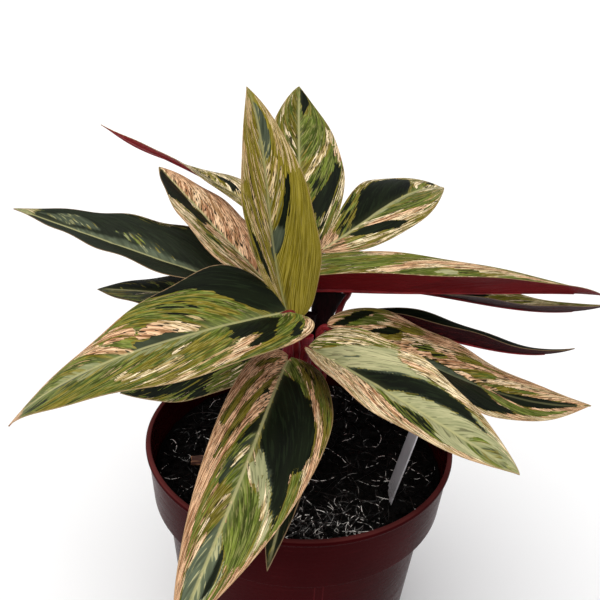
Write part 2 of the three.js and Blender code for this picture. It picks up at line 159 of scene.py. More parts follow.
@dataclass
class Skin:
    """A mesh as whole arrays.

    Attributes:
        points: places in millimetres, one row a vertex.
        faces: arrays of faces by vertex number, with three or four columns.
        parts: the material number of each of these arrays.
        marks: named values of the vertices, in three or four columns.
    """

    points: np.ndarray
    faces: list[np.ndarray]
    parts: list[int] = field(default_factory=list)
    marks: dict[str, np.ndarray] = field(default_factory=dict)

    @staticmethod
    def joined(skins: list["Skin"]) -> "Skin":
        """One skin of several, which all hold the same marks.

        Args:
            skins: the skins to join.

        Returns:
            A skin with all their points, faces and marks.
        """
        starts = np.cumsum([0] + [len(s.points) for s in skins])
        faces = [f + start for s, start in zip(skins, starts) for f in s.faces]
        parts = [p for s in skins for p in (s.parts or [0] * len(s.faces))]
        marks = {k: np.concatenate([s.marks[k] for s in skins]) for k in skins[0].marks}
        return Skin(np.concatenate([s.points for s in skins]), faces, parts, marks)

    def piece(self, name: str, slot: str, materials: list[Material], flat: float = 50.0) -> bpy.types.Object:
        """Puts the skin into a Blender object that rides on the plant.

        Args:
            name: the object's name.
            slot: a material slot's name; it is not used.
            materials: its materials, in the order of the parts.
            flat: degrees between faces past which an edge stays sharp.

        Returns:
            The new object, at the origin.
        """
        mesh = bpy.data.meshes.new(name)
        loops = np.concatenate([f.ravel() for f in self.faces])
        sizes = np.concatenate([np.full(len(f), f.shape[1]) for f in self.faces])
        mesh.vertices.add(len(self.points))
        mesh.loops.add(len(loops))
        mesh.polygons.add(len(sizes))
        mesh.vertices.foreach_set("co", (self.points * METRES).astype(np.float32).ravel())
        mesh.loops.foreach_set("vertex_index", loops.astype(np.int32))
        starts = np.concatenate([[0], np.cumsum(sizes)[:-1]])
        mesh.polygons.foreach_set("loop_start", starts.astype(np.int32))
        for material in materials:
            mesh.materials.append(material)
        parts = np.repeat(self.parts or [0] * len(self.faces), [len(f) for f in self.faces])
        mesh.polygons.foreach_set("material_index", parts.astype(np.int32))
        mesh.update(calc_edges=True)
        mesh.shade_smooth()
        mesh.set_sharp_from_angle(angle=math.radians(flat))
        for key, values in self.marks.items():
            kind, word = ("FLOAT_COLOR", "color") if values.shape[1] == 4 else ("FLOAT_VECTOR", "vector")
            layer = mesh.attributes.new(key, kind, "POINT")
            layer.data.foreach_set(word, values.astype(np.float32).ravel())
        made = bpy.data.objects.new(name, mesh)
        bpy.context.scene.collection.objects.link(made)
        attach(made, BODY)
        log.info("%s: %d faces", name, len(sizes))
        return made


def loft(rings: np.ndarray, ends: np.ndarray | None = None) -> Skin:
    """A closed skin over rings that run anticlockwise round the way they follow each other.

    Args:
        rings: points in the shape (rings, sides, 3).
        ends: the two points that close it, or None for the middles of its first and last ring.

    Returns:
        The skin, without marks.
    """
    count, sides = rings.shape[:2]
    if ends is None:
        ends = np.stack([rings[0].mean(0), rings[-1].mean(0)])
    at = np.arange(count * sides).reshape(count, sides)
    turned = np.roll(at, -1, axis=1)
    walls = np.stack([at[:-1], turned[:-1], turned[1:], at[1:]], -1).reshape(-1, 4)
    first, last = count * sides, count * sides + 1
    low = np.stack([np.full(sides, first), turned[0], at[0]], -1)
    high = np.stack([np.full(sides, last), at[-1], turned[-1]], -1)
    return Skin(np.concatenate([rings.reshape(-1, 3), ends]), [walls, low, high])


def tube(path: np.ndarray, side: np.ndarray, radii: np.ndarray, sides: int) -> Skin:
    """A closed tube: path + radius * (cos(angle) * across + sin(angle) * back).

    "across" is side less its part along the path, and "back" is the path's direction x across.

    Args:
        path: the middles of its rings.
        side: one direction, or one for each ring, that is never along the path.
        radii: a radius for each ring, or one for each ring and side.
        sides: how many sides it has.

    Returns:
        The skin, with the mark "grain": place round the tube and along it, in millimetres.
    """
    along = unit(np.gradient(path, axis=0))
    side = np.broadcast_to(side, path.shape)
    across = unit(side - (side * along).sum(-1, keepdims=True) * along)
    back = np.cross(along, across)
    angle = ring_angles(sides)
    wide = np.broadcast_to(radii if radii.ndim == 2 else radii[:, None], (len(path), sides))
    c, s = wide * np.cos(angle), wide * np.sin(angle)
    rings = path[:, None] + c[..., None] * across[:, None] + s[..., None] * back[:, None]
    run = runs(path)
    grain = np.stack([c, s, np.broadcast_to(run[:, None], c.shape)], -1).reshape(-1, 3)
    skin = loft(rings)
    skin.marks["grain"] = np.concatenate([grain, [[0, 0, 0], [0, 0, run[-1]]]])
    return skin


def lathe(profile: np.ndarray, sides: int) -> Skin:
    """The skin of a profile of (radius, height) turned round the Z axis; its two ends lie on the axis."""
    angle = ring_angles(sides)
    r, z = profile[1:-1, :1], profile[1:-1, 1:]
    rings = np.stack([r * np.cos(angle), r * np.sin(angle), np.broadcast_to(z, (len(z), sides))], -1)
    return loft(rings, np.array([[0, 0, profile[0, 1]], [0, 0, profile[-1, 1]]]))


def rounded(corners: list[tuple[float, float, float]], steps: int = 5) -> np.ndarray:
    """A profile whose corners are rounded by parabolas: bezier(before, corner, after).

    Args:
        corners: radius, height and how far before and after the corner its curve reaches.
        steps: points on each curve.

    Returns:
        The profile's points, in two columns.
    """
    at = np.array([c[:2] for c in corners], float)
    out = [at[:1]]
    for k in range(1, len(corners) - 1):
        reach = corners[k][2]
        before, after = at[k - 1] - at[k], at[k + 1] - at[k]
        ends = [at[k] + w * min(reach / np.linalg.norm(w), 0.49) for w in (before, after)]
        t = np.linspace(0, 1, steps if reach > 0 else 1)
        out.append(bezier(np.array([ends[0], at[k], ends[1]]), t) if reach > 0 else at[k : k + 1])
    return np.concatenate(out + [at[-1:]])


# ---- node materials


class Wire:
    """A value socket whose arithmetic adds Math nodes."""

    def __init__(self, paint: "Paint", socket: Socket) -> None:
        """Wraps one output socket of the paint's nodes."""
        self.paint = paint
        self.socket = socket

    def math(self, operation: str, *values: "Wire | float") -> "Wire":
        """One Math node.

        Args:
            operation: its operation.
            values: its inputs in order.

        Returns:
            Its result.
        """
        node = self.paint.node("ShaderNodeMath", {"operation": operation}, dict(enumerate(values)))
        return Wire(self.paint, node.outputs[0])

    def __add__(self, other: "Wire | float") -> "Wire":
        """self + other."""
        return self.math("ADD", self, other)

    def __radd__(self, other: float) -> "Wire":
        """other + self."""
        return self.math("ADD", other, self)

    def __sub__(self, other: "Wire | float") -> "Wire":
        """self - other."""
        return self.math("SUBTRACT", self, other)

    def __rsub__(self, other: float) -> "Wire":
        """other - self."""
        return self.math("SUBTRACT", other, self)

    def __mul__(self, other: "Wire | float") -> "Wire":
        """self * other."""
        return self.math("MULTIPLY", self, other)

    def __rmul__(self, other: float) -> "Wire":
        """other * self."""
        return self.math("MULTIPLY", other, self)

    def __truediv__(self, other: "Wire | float") -> "Wire":
        """self / other."""
        return self.math("DIVIDE", self, other)

    def __abs__(self) -> "Wire":
        """The absolute value."""
        return self.math("ABSOLUTE", self)

    def sine(self) -> "Wire":
        """The sine, in radians."""
        return self.math("SINE", self)

    def rise(self, low: float, high: float) -> "Wire":
        """0 below low, 1 above high, smooth between; low may be the greater.

        Args:
            low: where it is 0.
            high: where it is 1.

        Returns:
            The smoothed share.
        """
        settings = {"interpolation_type": "SMOOTHSTEP"}
        values = {"Value": self, "From Min": low, "From Max": high}
        if low > high:
            values = {"Value": self, "From Min": high, "From Max": low, "To Min": 1.0, "To Max": 0.0}
        return Wire(self.paint, self.paint.node("ShaderNodeMapRange", settings, values).outputs[0])


class Paint:
    """A node material with one Principled shader."""

    def __init__(self, name: str) -> None:
        """Starts the material and its shader.

        Args:
            name: the material's name.
        """
        self.material = bpy.data.materials.new(name)
        self.material.use_nodes = True
        self.tree = self.material.node_tree
        self.tree.nodes.clear()
        self.shader = self.node("ShaderNodeBsdfPrincipled")
        self.node("ShaderNodeOutputMaterial", values={"Surface": self.shader.outputs[0]})

    def node(self, kind: str, settings: dict | None = None, values: dict | None = None) -> bpy.types.Node:
        """Adds a node.

        Args:
            kind: its type.
            settings: its own properties, set first.
            values: numbers, colours, wires or sockets for its inputs, by name, identifier or number.

        Returns:
            The node.
        """
        made = self.tree.nodes.new(kind)
        for key, value in (settings or {}).items():
            setattr(made, key, value)
        for key, value in (values or {}).items():
            self.feed(made, key, value)
        return made

    def feed(self, node: bpy.types.Node, key: str | int, value: object) -> None:
        """Gives an input socket its value or link.

        Args:
            node: the node.
            key: the input's name, identifier or number.
            value: a number, colour, wire or socket.
        """
        if isinstance(key, int):
            socket = node.inputs[key]
        else:
            socket = next((s for s in node.inputs if s.identifier == key), None) or node.inputs[key]
        if isinstance(value, Wire):
            value = value.socket
        if isinstance(value, Socket):
            self.tree.links.new(value, socket)
        else:
            socket.default_value = value

    def mark(self, name: str) -> bpy.types.Node:
        """The Attribute node that reads one of a skin's marks."""
        return self.node("ShaderNodeAttribute", {"attribute_name": name})

    def place(self) -> Socket:
        """The Object coordinates."""
        return self.node("ShaderNodeTexCoord").outputs["Object"]

    def split(self, vector: Socket) -> tuple[Wire, Wire, Wire]:
        """The three values of a vector."""
        node = self.node("ShaderNodeSeparateXYZ", values={0: vector})
        return Wire(self, node.outputs[0]), Wire(self, node.outputs[1]), Wire(self, node.outputs[2])

    def stretched(self, vector: Socket, by: tuple[float, float, float]) -> Socket:
        """The vector with each of its values multiplied by a number."""
        return self.node("ShaderNodeVectorMath", {"operation": "MULTIPLY"}, {0: vector, 1: by}).outputs[0]

    def noise(self, vector: Socket, scale: float, detail: float = 2.0) -> Wire:
        """Noise spread over 0 to 1, so that a threshold t covers about a share t of the surface.

        Args:
            vector: where it is read.
            scale: its cells to a unit.
            detail: its finer layers.

        Returns:
            The noise.
        """
        values = {"Vector": vector, "Scale": scale, "Detail": detail, "Roughness": 0.55}
        return Wire(self, self.node("ShaderNodeTexNoise", None, values).outputs[0]).rise(0.28, 0.72)

    def mix(self, share: Wire | float, a: object, b: object) -> Socket:
        """The colour a where the share is 0 and b where it is 1.

        Args:
            share: how much of b.
            a: an sRGB code or a socket.
            b: the same.

        Returns:
            The mixed colour.
        """
        a, b = (linear(colour) if isinstance(colour, str) else colour for colour in (a, b))
        settings = {"data_type": "RGBA", "clamp_factor": True}
        node = self.node("ShaderNodeMix", settings, {"Factor_Float": share, "A_Color": a, "B_Color": b})
        return next(s for s in node.outputs if s.identifier == "Result_Color")

    def coat(self, base: object, *coats: tuple[Wire | float, object]) -> Socket:
        """A colour with others laid over it in turn.

        Args:
            base: an sRGB code or a socket.
            coats: how much of each further colour shows, and the colour.

        Returns:
            The colour of all of them together.
        """
        for share, colour in coats:
            base = self.mix(share, base, colour)
        return base

    def relief(self, height: Wire, distance: float, strength: float = 1.0) -> None:
        """Bumps the shader's normal.

        Args:
            height: the relief, from 0 to 1.
            distance: how high 1 stands, in metres.
            strength: the share of it that shows.
        """
        values = {"Strength": strength, "Distance": distance, "Height": height}
        self.feed(self.shader, "Normal", self.node("ShaderNodeBump", None, values).outputs[0])

    def shade(self, **values: object) -> Material:
        """Sets the shader's inputs, with _ for a space in their names, and gives the material."""
        for key, value in values.items():
            self.feed(self.shader, key.replace("_", " "), value)
        return self.material


# ---- the blades' markings


class Tissue(Enum):
    """The kinds of tissue that a blade is streaked with over its olive ground, in a mixture's order."""

    DARK = 0
    GREEN = 1
    CREAM = 2
    PINK = 3
    GREY = 4


@dataclass(frozen=True)
class Patch:
    """An area of a blade with its own mixture of tissues. Grey in dark tissue turns it to slate.

    Attributes:
        outline: its corners as "s,a s,a ...", in hundredths of the midrib's length and of the half
            width, which is above 0 to the left of the midrib and below 0 to its right.
        dark, green, cream, pink, grey: the share of the area that each tissue covers.
    """

    outline: str = ""
    dark: float = 0.0
    green: float = 0.0
    cream: float = 0.0
    pink: float = 0.0
    grey: float = 0.0

    def mixture(self) -> np.ndarray:
        """The share of each Tissue in its order."""
        return np.array([self.dark, self.green, self.cream, self.pink, self.grey])

    def corners(self) -> np.ndarray:
        """The outline's corners as shares of the midrib and the half width, in two columns."""
        return np.array([corner.split(",") for corner in self.outline.split()], float) / 100

    def cover(
        self, s: np.ndarray, across: np.ndarray, length: float, width: float, soft: float
    ) -> np.ndarray:
        """How far inside the outline each place lies: 1/2 + distance / soft, held within 0 to 1.

        The distance is to the nearest side of the outline on the flat chart (s * length,
        across * width), above 0 inside, where a line out of the place crosses it an odd number of times.

        Args:
            s: share of the midrib.
            across: share of the half width.
            length: millimetres of the midrib.
            width: millimetres of the half width.
            soft: millimetres over which the patch fades.

        Returns:
            The cover at each place.
        """
        x, y = s * length, across * width
        corners = self.corners() * [length, width]
        nearest = np.full(x.shape, np.inf)
        inside = np.zeros(x.shape, bool)
        for (ax, ay), (bx, by) in zip(corners, np.roll(corners, -1, axis=0)):
            span = max((bx - ax) ** 2 + (by - ay) ** 2, TINY)
            t = np.clip(((x - ax) * (bx - ax) + (y - ay) * (by - ay)) / span, 0, 1)
            nearest = np.minimum(nearest, np.hypot(x - ax - t * (bx - ax), y - ay - t * (by - ay)))
            if ay != by:
                inside ^= ((ay > y) != (by > y)) & (x < (bx - ax) * (y - ay) / (by - ay) + ax)
        return np.clip(0.5 + np.where(inside, nearest, -nearest) / soft, 0, 1)


@dataclass(frozen=True)
class Leaf:
    """One leaf: the shape of its blade and petiole, and its markings.

    A blade seen from its base to its tip has its left side first in each pair.

    Attributes:
        node: the CAD node.
        foot: where its petiole leaves the soil.
        base: where the blade starts, with the height above the pot's rim.
        length: of the midrib.
        widths: the greatest half widths.
        rise: degrees above level at the base, the middle and the tip.
        heading: degrees from +X at the same places.
        roll: degrees about the midrib at the base and the tip.
        fold: degrees by which each half is raised there.
        round: the power that shapes each half towards the base.
        taper: the power that shapes it towards the tip.
        lobes: how far the base of each half reaches back.
        sheath: the share of the petiole that stays in its sheath.
        wave: height, number and phase of the margin's waves.
        ground: the mixture of tissues away from its patches.
        patches: its patches, each painted over the ones before.
        yellow: how yellow its olive ground is, from 0 to 1.
        feather: millimetres that the pale midrib fans out along its veins.
        sweep: how strongly its veins are swept towards the tip, where 1 is usual.
    """

    node: str
    foot: tuple[float, float]
    base: tuple[float, float, float]
    length: float
    widths: tuple[float, float]
    rise: tuple[float, float, float]
    heading: tuple[float, float, float]
    roll: tuple[float, float]
    fold: tuple[float, float]
    round: tuple[float, float]
    taper: tuple[float, float]
    lobes: tuple[float, float]
    sheath: float
    wave: tuple[float, float, float]
    ground: Patch
    patches: tuple[Patch, ...] = ()
    yellow: float = 0.4
    feather: float = 3.0
    sweep: float = 1.0


# The shapes repeat the CAD part's table. A least-squares fit to drawn outlines gave its numbers,
# which are rounded, and some were then changed. A program turned part of the patches' corners
# from drawn outlines into shares of the blade.
LEAVES = (
    Leaf(
        "leaf_front_left", foot=(-2, 1), base=(-6.3, -20, 63.5), length=102, widths=(22.5, 24.3),
        rise=(9, -13, -52), heading=(226, 202, 179), roll=(-12, -5), fold=(16, -1),
        round=(0.53, 0.28), taper=(1.09, 1.24), lobes=(10, 0), sheath=0.58, wave=(0.8, 3, 0.4),
        ground=Patch(green=0.72, cream=0.12),
        yellow=0.45, feather=4, sweep=0.85,
        patches=(
            Patch("0,25 10,35 18,110 0,110", green=0.85, cream=0.08),
            Patch("3,70 7,80 12,93 18,95 18,110 0,110", cream=0.6, pink=0.5),
            Patch("9,62 8,74 12,93 14,82", dark=1),
            Patch("30,2 42,26 55,24 70,30 74,2", grey=0.45, green=0.6),
            Patch("26,30 30,75 40,85 56,85 46,30", green=0.6, cream=0.13, pink=0.05, grey=0.15),
            Patch("11,1 10,10 10,26 14,49 17,65 20,75 23,80 26,72 22,60 22,48 27,56 27,40 25,25 24,2",
                  dark=1),
            Patch("22,50 20,56 24,68 26,74 24,82 30,94 39,95 35,88 31,76 27,55", cream=0.4, pink=0.45),
            Patch("37,110 39,90 45,80 52,88 58,110", cream=0.3, pink=0.12),
            Patch("37,24 40,40 43,54 48,70 52,72 47,52 43,34", cream=0.4, pink=0.16, grey=0.4),
            Patch("59,66 57,55 51,63 54,78 58,80", cream=0.45, pink=0.12, grey=0.3),
            Patch("62,50 62,110 84,110 80,50", green=0.55, cream=0.06),
            Patch("0,-2 4,-2 12,-13 15,-25 21,-45 25,-62 28,-75 32,-79 35,-84 41,-95 43,-110 0,-110", dark=1),
            Patch("28,-50 31,-27 40,-40 44,-75 38,-70", green=0.5, dark=0.3),
            Patch("31,-8 35,-20 44,-45 47,-45 49,-36 52,-34 52,-22 47,-17 41,-11 34,-6", cream=0.42,
                  pink=0.6),
            Patch("36,-3 44,-16 52,-19 53,2 49,5 42,4", dark=1, grey=0.2),
            Patch("53,-30 51,-54 59,-86 64,-78 60,-50", cream=0.3, pink=0.35, green=0.1),
            Patch("53,-3 61,-42 66,-95 71,-95 69,-64 64,-33 58,-10 54,5", cream=0.45, pink=0.5),
            Patch("55,-94 80,-90 95,-60 100,-110 50,-110", cream=0.2, pink=0.7),
            Patch("62,-2 68,-24 80,-30 86,-2", grey=0.5, green=0.6),
            Patch("66,-3 67,6 75,16 84,14 86,-5 76,-5", dark=0.9, grey=0.6),
            Patch("80,-10 78,38 84,90 92,70 92,-10", green=0.9, dark=0.3),
            Patch("93,-110 92,0 93,110 100,110 100,-110", pink=0.95),
        ),
    ),
    Leaf(
        "leaf_tall_centre", foot=(1.3, 0.9), base=(-5.9, -4, 51), length=85, widths=(16.9, 17.3),
        rise=(57, 72, 49), heading=(138, 119, 129), roll=(18, 0), fold=(31, 19),
        round=(0.57, 0.44), taper=(0.96, 0.99), lobes=(1, 2), sheath=0.72, wave=(0.6, 3, 0.1),
        ground=Patch(green=0.05, cream=0.02),
        yellow=0.95, feather=1.6, sweep=1.7,
        patches=(
            Patch("10,3 10,110 100,110 100,2", green=0.06, cream=0.3, pink=0.1, dark=0.05),
            Patch("76,110 75,90 62,86 61,110", cream=0.6, pink=0.5),
            Patch("94,90 94,30 83,40 84,76", cream=0.5, pink=0.5),
            Patch("56,110 53,92 44,86 30,88 30,110", dark=0.35, green=0.3),
            Patch("20,66 26,60 38,72 40,86 29,83", dark=0.9),
            Patch("14,50 20,30 42,24 50,55 40,62 25,50", cream=0.45, dark=0.2),
            Patch("42,60 50,55 70,60 72,80 50,80", dark=0.22, cream=0.2, pink=0.16),
            Patch("20,30 30,36 45,28 75,24 80,2 22,2", grey=0.45, cream=0.36, green=0.1),
            Patch("34,-2 42,-9 50,-30 60,-44 68,-44 74,-30 74,-2", cream=0.45, grey=0.3, pink=0.06),
            Patch("68,-4 71,-24 78,-40 88,-50 92,-35 94,-3", green=0.6, dark=0.85, grey=0.5),
            Patch("64,-60 70,-45 84,-60 95,-60 95,-110 62,-110", cream=0.48, pink=0.14),
            Patch("26,10 29,22 36,5 39,-8 43,-17 51,-35 60,-47 63,-56 62,-63 49,-45 45,-37 34,-18 30,-7",
                  dark=1),
            Patch("26,10 29,22 36,5 41,-12 40,-28 34,-18 30,-7", dark=1, grey=0.55),
        ),
    ),
    Leaf(
        "leaf_tall_back", foot=(0, 28), base=(-4.3, 43, 45.1), length=95, widths=(19.1, 19.9),
        rise=(52, 45, 43), heading=(91, 96, 92), roll=(-12, 15), fold=(29, 4),
        round=(0.51, 0.84), taper=(0.83, 0.95), lobes=(1, 1), sheath=0.6, wave=(0.8, 3, 0.6),
        ground=Patch(green=0.45, cream=0.14),
        yellow=0.3, feather=2.2, sweep=1,
        patches=(
            Patch("60,75 95,70 95,110 50,110", cream=0.35, green=0.4),
            Patch("64,-3 63,-55 75,-110 97,-110 97,-3", green=0.75, cream=0.1),
            Patch("10,-35 29,-54 41,-78 55,-90 58,-110 10,-110", green=0.5, cream=0.4, dark=0.3),
            Patch("84,-19 93,-10 99,-25 97,-90 92,-76", dark=1),
            Patch("69,-80 75,-88 77,-110 69,-110", cream=0.95),
            Patch("38,-36 49,-20 60,-60 69,-92 62,-92 52,-74 44,-50", green=0.95, dark=0.2),
            Patch("48,-14 49,-20 55,-42 63,-67 70,-86 72,-82 65,-60 58,-40 50,-14", cream=1),
            Patch("66,-88 66,-110 54,-110 57,-88", cream=0.5, pink=0.6),
            Patch("57,-84 52,-90 41,-81 36,-77 29,-57 27,-42 36,-27 43,-52 52,-76", dark=1),
            Patch("5,-110 8,-50 17,-72 22,-110", pink=0.9, cream=0.1),
        ),
    ),
    Leaf(
        "leaf_spoon_right", foot=(4, 26), base=(3.2, 35, 62.6), length=83, widths=(17.3, 18.7),
        rise=(18, 9, -7), heading=(36, 52, 37), roll=(28, -7), fold=(8, 9),
        round=(0.97, 0.87), taper=(0.47, 0.78), lobes=(1, 1), sheath=0.6, wave=(0.8, 2, 0.2),
        ground=Patch(green=0.35, cream=0.3, pink=0.1),
        yellow=0.4, feather=3.2, sweep=1.1,
        patches=(
            Patch("0,-110 0,110 13,110 15,10 13,-110", pink=0.85, green=0.15),
            Patch("13,2 16,60 33,110 50,110 40,68 30,2", green=0.5, dark=0.45),
            Patch("86,110 85,70 82,35 74,2 68,-30 68,-110 100,-110 100,110", cream=0.4, green=0.4, grey=0.3),
            Patch("93,30 95,66 98,55 97,12", dark=0.9),
            Patch("42,78 55,82 70,90 80,88 81,110 52,110 44,90", cream=0.5, dark=0.15),
            Patch("26,2 27,19 34,49 41,68 47,76 54,79 62,86 70,87 79,84 85,60 83,37 78,20 72,4 60,-2 45,-2",
                  dark=1),
            Patch("34,-4 74,-3 78,-50 74,-68 62,-74 46,-27", green=0.85, cream=0.1),
            Patch("34,-3 80,-3 76,-14 45,-13", grey=0.7, green=0.2),
            Patch("29,-15 40,-28 55,-58 66,-80 56,-84 46,-74 38,-40 30,-24", cream=0.55, pink=0.5),
            Patch("15,-30 25,-55 39,-82 55,-90 72,-90 70,-110 10,-110", cream=0.28, pink=0.16, green=0.35),
            Patch("19,-10 28,-15 38,-42 42,-57 47,-82 39,-80 26,-52 20,-30", dark=1),
        ),
    ),
    Leaf(
        "leaf_folded_right", foot=(0, 11.5), base=(-6.5, 18, 55.5), length=138, widths=(20, 18),
        rise=(0, -2, -17), heading=(-4, 11, 35), roll=(-10, -12), fold=(37, 29),
        round=(0.37, 0.5), taper=(1.12, 1.03), lobes=(2, 2), sheath=0.7, wave=(0.3, 3, 0.3),
        ground=Patch(green=0.5, cream=0.25),
        yellow=0.35, feather=3, sweep=1.7,
        patches=(
            Patch("0,40 10,110 50,110 54,97 41,92 31,67 22,45", green=0.7, cream=0.12, dark=0.1),
            Patch("20,110 22,90 26,84 33,95 31,110", cream=0.6, pink=0.5),
            Patch("52,110 56,95 64,88 75,80 90,74 90,110", green=0.6, cream=0.2),
            Patch("21,42 31,59 36,74 43,89 52,100 60,93 70,84 82,74 82,62 70,66 60,62 55,72 49,66 42,67 "
                  "36,56 29,43", cream=0.55, pink=0.6),
            Patch("30,40 37,55 43,61 49,55 52,30 30,30", green=0.95),
            Patch("41,45 43,57 48,60 49,45", grey=1),
            Patch("49,46 49,61 54,68 59,56 56,40", green=0.85, dark=0.2),
            Patch("56,50 55,68 60,74 68,70 66,54", cream=0.5, green=0.1),
            Patch("60,44 63,58 70,66 82,62 84,30 64,30", green=0.95),
            Patch("53,28 57,42 64,47 68,34 64,28", dark=0.95),
            Patch("30,-10 50,-110 70,-110 50,-10", dark=0.55),
        ),
    ),
    Leaf(
        "leaf_under_right", foot=(6.6, 10.8), base=(18, 33.5, 48.5), length=109, widths=(8, 14.5),
        rise=(2, -8, 13), heading=(14, 0, 14), roll=(15, -7), fold=(34, 36),
        round=(0.69, 0.61), taper=(0.91, 0.74), lobes=(1, 1), sheath=0.45, wave=(0.5, 3, 0.5),
        ground=Patch(dark=0.95, green=0.4, cream=0.05),
        yellow=0.3, feather=2, sweep=1.4,
        patches=(
            Patch("50,20 56,80 62,110 84,110 80,20", green=0.5, cream=0.35, dark=0.12),
            Patch("80,20 82,110 100,110 100,20", green=0.6, cream=0.2, dark=0.2),
        ),
    ),
    Leaf(
        "leaf_narrow_right", foot=(4.6, 14.4), base=(12, 27, 33.5), length=107, widths=(9.5, 9.5),
        rise=(12, -14, 8), heading=(2, 5, 23), roll=(-6, -23), fold=(60, 24),
        round=(0.63, 0.5), taper=(1.04, 1.04), lobes=(1, 1), sheath=0.45, wave=(0.5, 3, 0.3),
        ground=Patch(dark=1),
        yellow=0.2, feather=0.8,
    ),
    Leaf(
        "leaf_pink_right", foot=(4, 8), base=(7.6, 5, 45.7), length=107, widths=(19.6, 20.7),
        rise=(-5, -22, 14), heading=(-12, -1, -7), roll=(-5, 14), fold=(20, -1),
        round=(0.47, 0.85), taper=(0.86, 1.12), lobes=(1, 1), sheath=0.75, wave=(0.8, 3, 0.7),
        ground=Patch(cream=0.3, pink=0.48),
        yellow=0.4, feather=0.8, sweep=1.2,
        patches=(
            Patch("0,-2 0,-110 40,-110 30,-2", cream=0.4, pink=0.45, green=0.1),
            Patch("2,5 3,85 14,110 24,95 20,55 12,10", green=0.45, cream=0.2, pink=0.25),
            Patch("6,15 10,50 13,66 18,82 21,74 16,42", green=1),
            Patch("2,10 5,52 8,74 14,90 17,84 13,68 10,50 6,20", dark=1),
            Patch("16,22 21,47 27,55 27,42 22,25", dark=1),
            Patch("27,42 27,60 34,92 38,86 33,60", green=0.2, dark=0.15),
            Patch("14,10 19,20 25,30 28,28 20,8", green=0.4, dark=0.1),
            Patch("30,26 38,50 41,42 34,17", green=0.6, dark=0.2),
            Patch("38,30 44,46 47,42 42,24", green=0.3, dark=0.25),
            Patch("49,52 54,68 61,80 61,70 53,46", green=0.4, dark=0.15),
            Patch("50,19 57,40 64,55 66,36 58,18", green=0.5, dark=0.15),
            Patch("62,12 70,31 80,45 82,34 68,10", green=0.4, dark=0.1),
            Patch("31,-2 33,10 42,15 48,11 54,6 60,2 61,-20 63,-46 71,-77 60,-87 50,-92 42,-70 36,-40",
                  dark=1),
            Patch("36,12 48,12 60,2 56,-8 40,-2", dark=1, grey=0.5),
            Patch("60,3 64,-2 68,-25 75,-48 87,-54 94,-61 90,-74 81,-79 73,-78 67,-60 62,-30", green=1),
            Patch("64,3 70,9 77,15 86,24 95,25 95,-15 86,-36 76,-40 69,-20", dark=1),
            Patch("48,-90 62,-88 72,-80 83,-82 93,-79 96,-110 44,-110", cream=0.65, pink=0.4, green=0.1),
        ),
    ),
    Leaf(
        "leaf_cream_right", foot=(1.5, -6), base=(0.9, -8, 43.3), length=90, widths=(18.4, 14.7),
        rise=(4, 1, -4), heading=(-46, -48, -43), roll=(-3, 16), fold=(25, 9),
        round=(0.35, 0.71), taper=(0.83, 1.01), lobes=(2, 1), sheath=0.8, wave=(0.7, 3, 0.9),
        ground=Patch(grey=0.65, cream=0.25, green=0.25),
        yellow=0.35, feather=2.4, sweep=1.1,
        patches=(
            Patch("0,5 0,110 32,110 28,75 16,50 6,12", cream=0.5, green=0.45, pink=0.1),
            Patch("5,8 12,36 20,56 32,79 40,67 50,54 36,30 23,3 10,2", grey=1, cream=0.05),
            Patch("16,22 20,36 26,36 21,18", dark=0.35, grey=0.7),
            Patch("30,110 33,82 40,67 54,69 69,75 78,82 92,84 95,110", cream=0.5, pink=0.32, green=0.2),
            Patch("20,0 24,5 36,28 43,45 50,56 60,71 71,75 84,68 76,56 68,44 62,37 55,27 49,15 44,3 39,-2 "
                  "30,-3", dark=1),
            Patch("42,0 50,14 64,36 77,54 88,66 94,30 92,-2", grey=0.92, green=0.3),
            Patch("50,-10 46,-36 56,-56 74,-78 88,-74 92,-2", grey=0.8, green=0.6),
            Patch("0,-2 14,-4 30,-16 42,-27 50,-40 59,-60 74,-77 88,-74 97,-110 0,-110", cream=0.6,
                  pink=0.45),
            Patch("12,-1 28,-10 43,-25 56,-24 60,-2", grey=0.9, green=0.15),
            Patch("39,-12 43,-10 57,-42 65,-64 60,-68 53,-48", green=0.95, dark=0.15),
            Patch("50,-22 64,-16 70,-42 76,-78 63,-67", dark=0.3, green=0.9),
            Patch("78,-2 82,35 90,50 97,0 94,-80 86,-55", green=0.65, grey=0.4, dark=0.15),
        ),
    ),
    Leaf(
        "leaf_front_hanging", foot=(-7.2, -7.6), base=(-5.3, -8, 38.9), length=111, widths=(21.1, 13.8),
        rise=(11, -16, -53), heading=(-98, -103, -122), roll=(-25, -18), fold=(16, 2),
        round=(0.54, 0.52), taper=(1, 0.8), lobes=(2, 2), sheath=0.82, wave=(0.8, 3, 0.2),
        ground=Patch(green=0.5, cream=0.15, pink=0.25),
        yellow=0.35, feather=2.6, sweep=1.4,
        patches=(
            Patch("0,-2 33,-3 45,-38 60,-65 72,-85 72,-110 0,-110", pink=0.85, cream=0.05),
            Patch("12,-3 20,-20 28,-36 36,-55 46,-65 58,-86 57,-74 46,-50 36,-38 28,-20", dark=0.25,
                  green=0.15),
            Patch("18,-45 23,-60 32,-80 48,-95 46,-80 32,-62", dark=0.25, green=0.15),
            Patch("6,-35 12,-60 22,-85 22,-72 13,-40", dark=0.3),
            Patch("24,-16 27,-25 30,-23 28,-13", dark=0.9),
            Patch("32,-1 40,-19 49,-38 50,-30 46,-20 43,-2", dark=1),
            Patch("43,-2 46,-20 50,-36 58,-53 65,-63 74,-60 68,-25 64,-2", green=0.9, grey=0.3, dark=0.25),
            Patch("48,-8 54,-30 56,-30 50,-8", cream=0.9),
            Patch("60,-30 64,-70 78,-72 78,-25 72,-2 64,-2", cream=0.12, green=0.45, pink=0.14),
            Patch("68,-2 76,-27 86,-60 92,-50 94,-2", grey=0.8, green=0.4, dark=0.85),
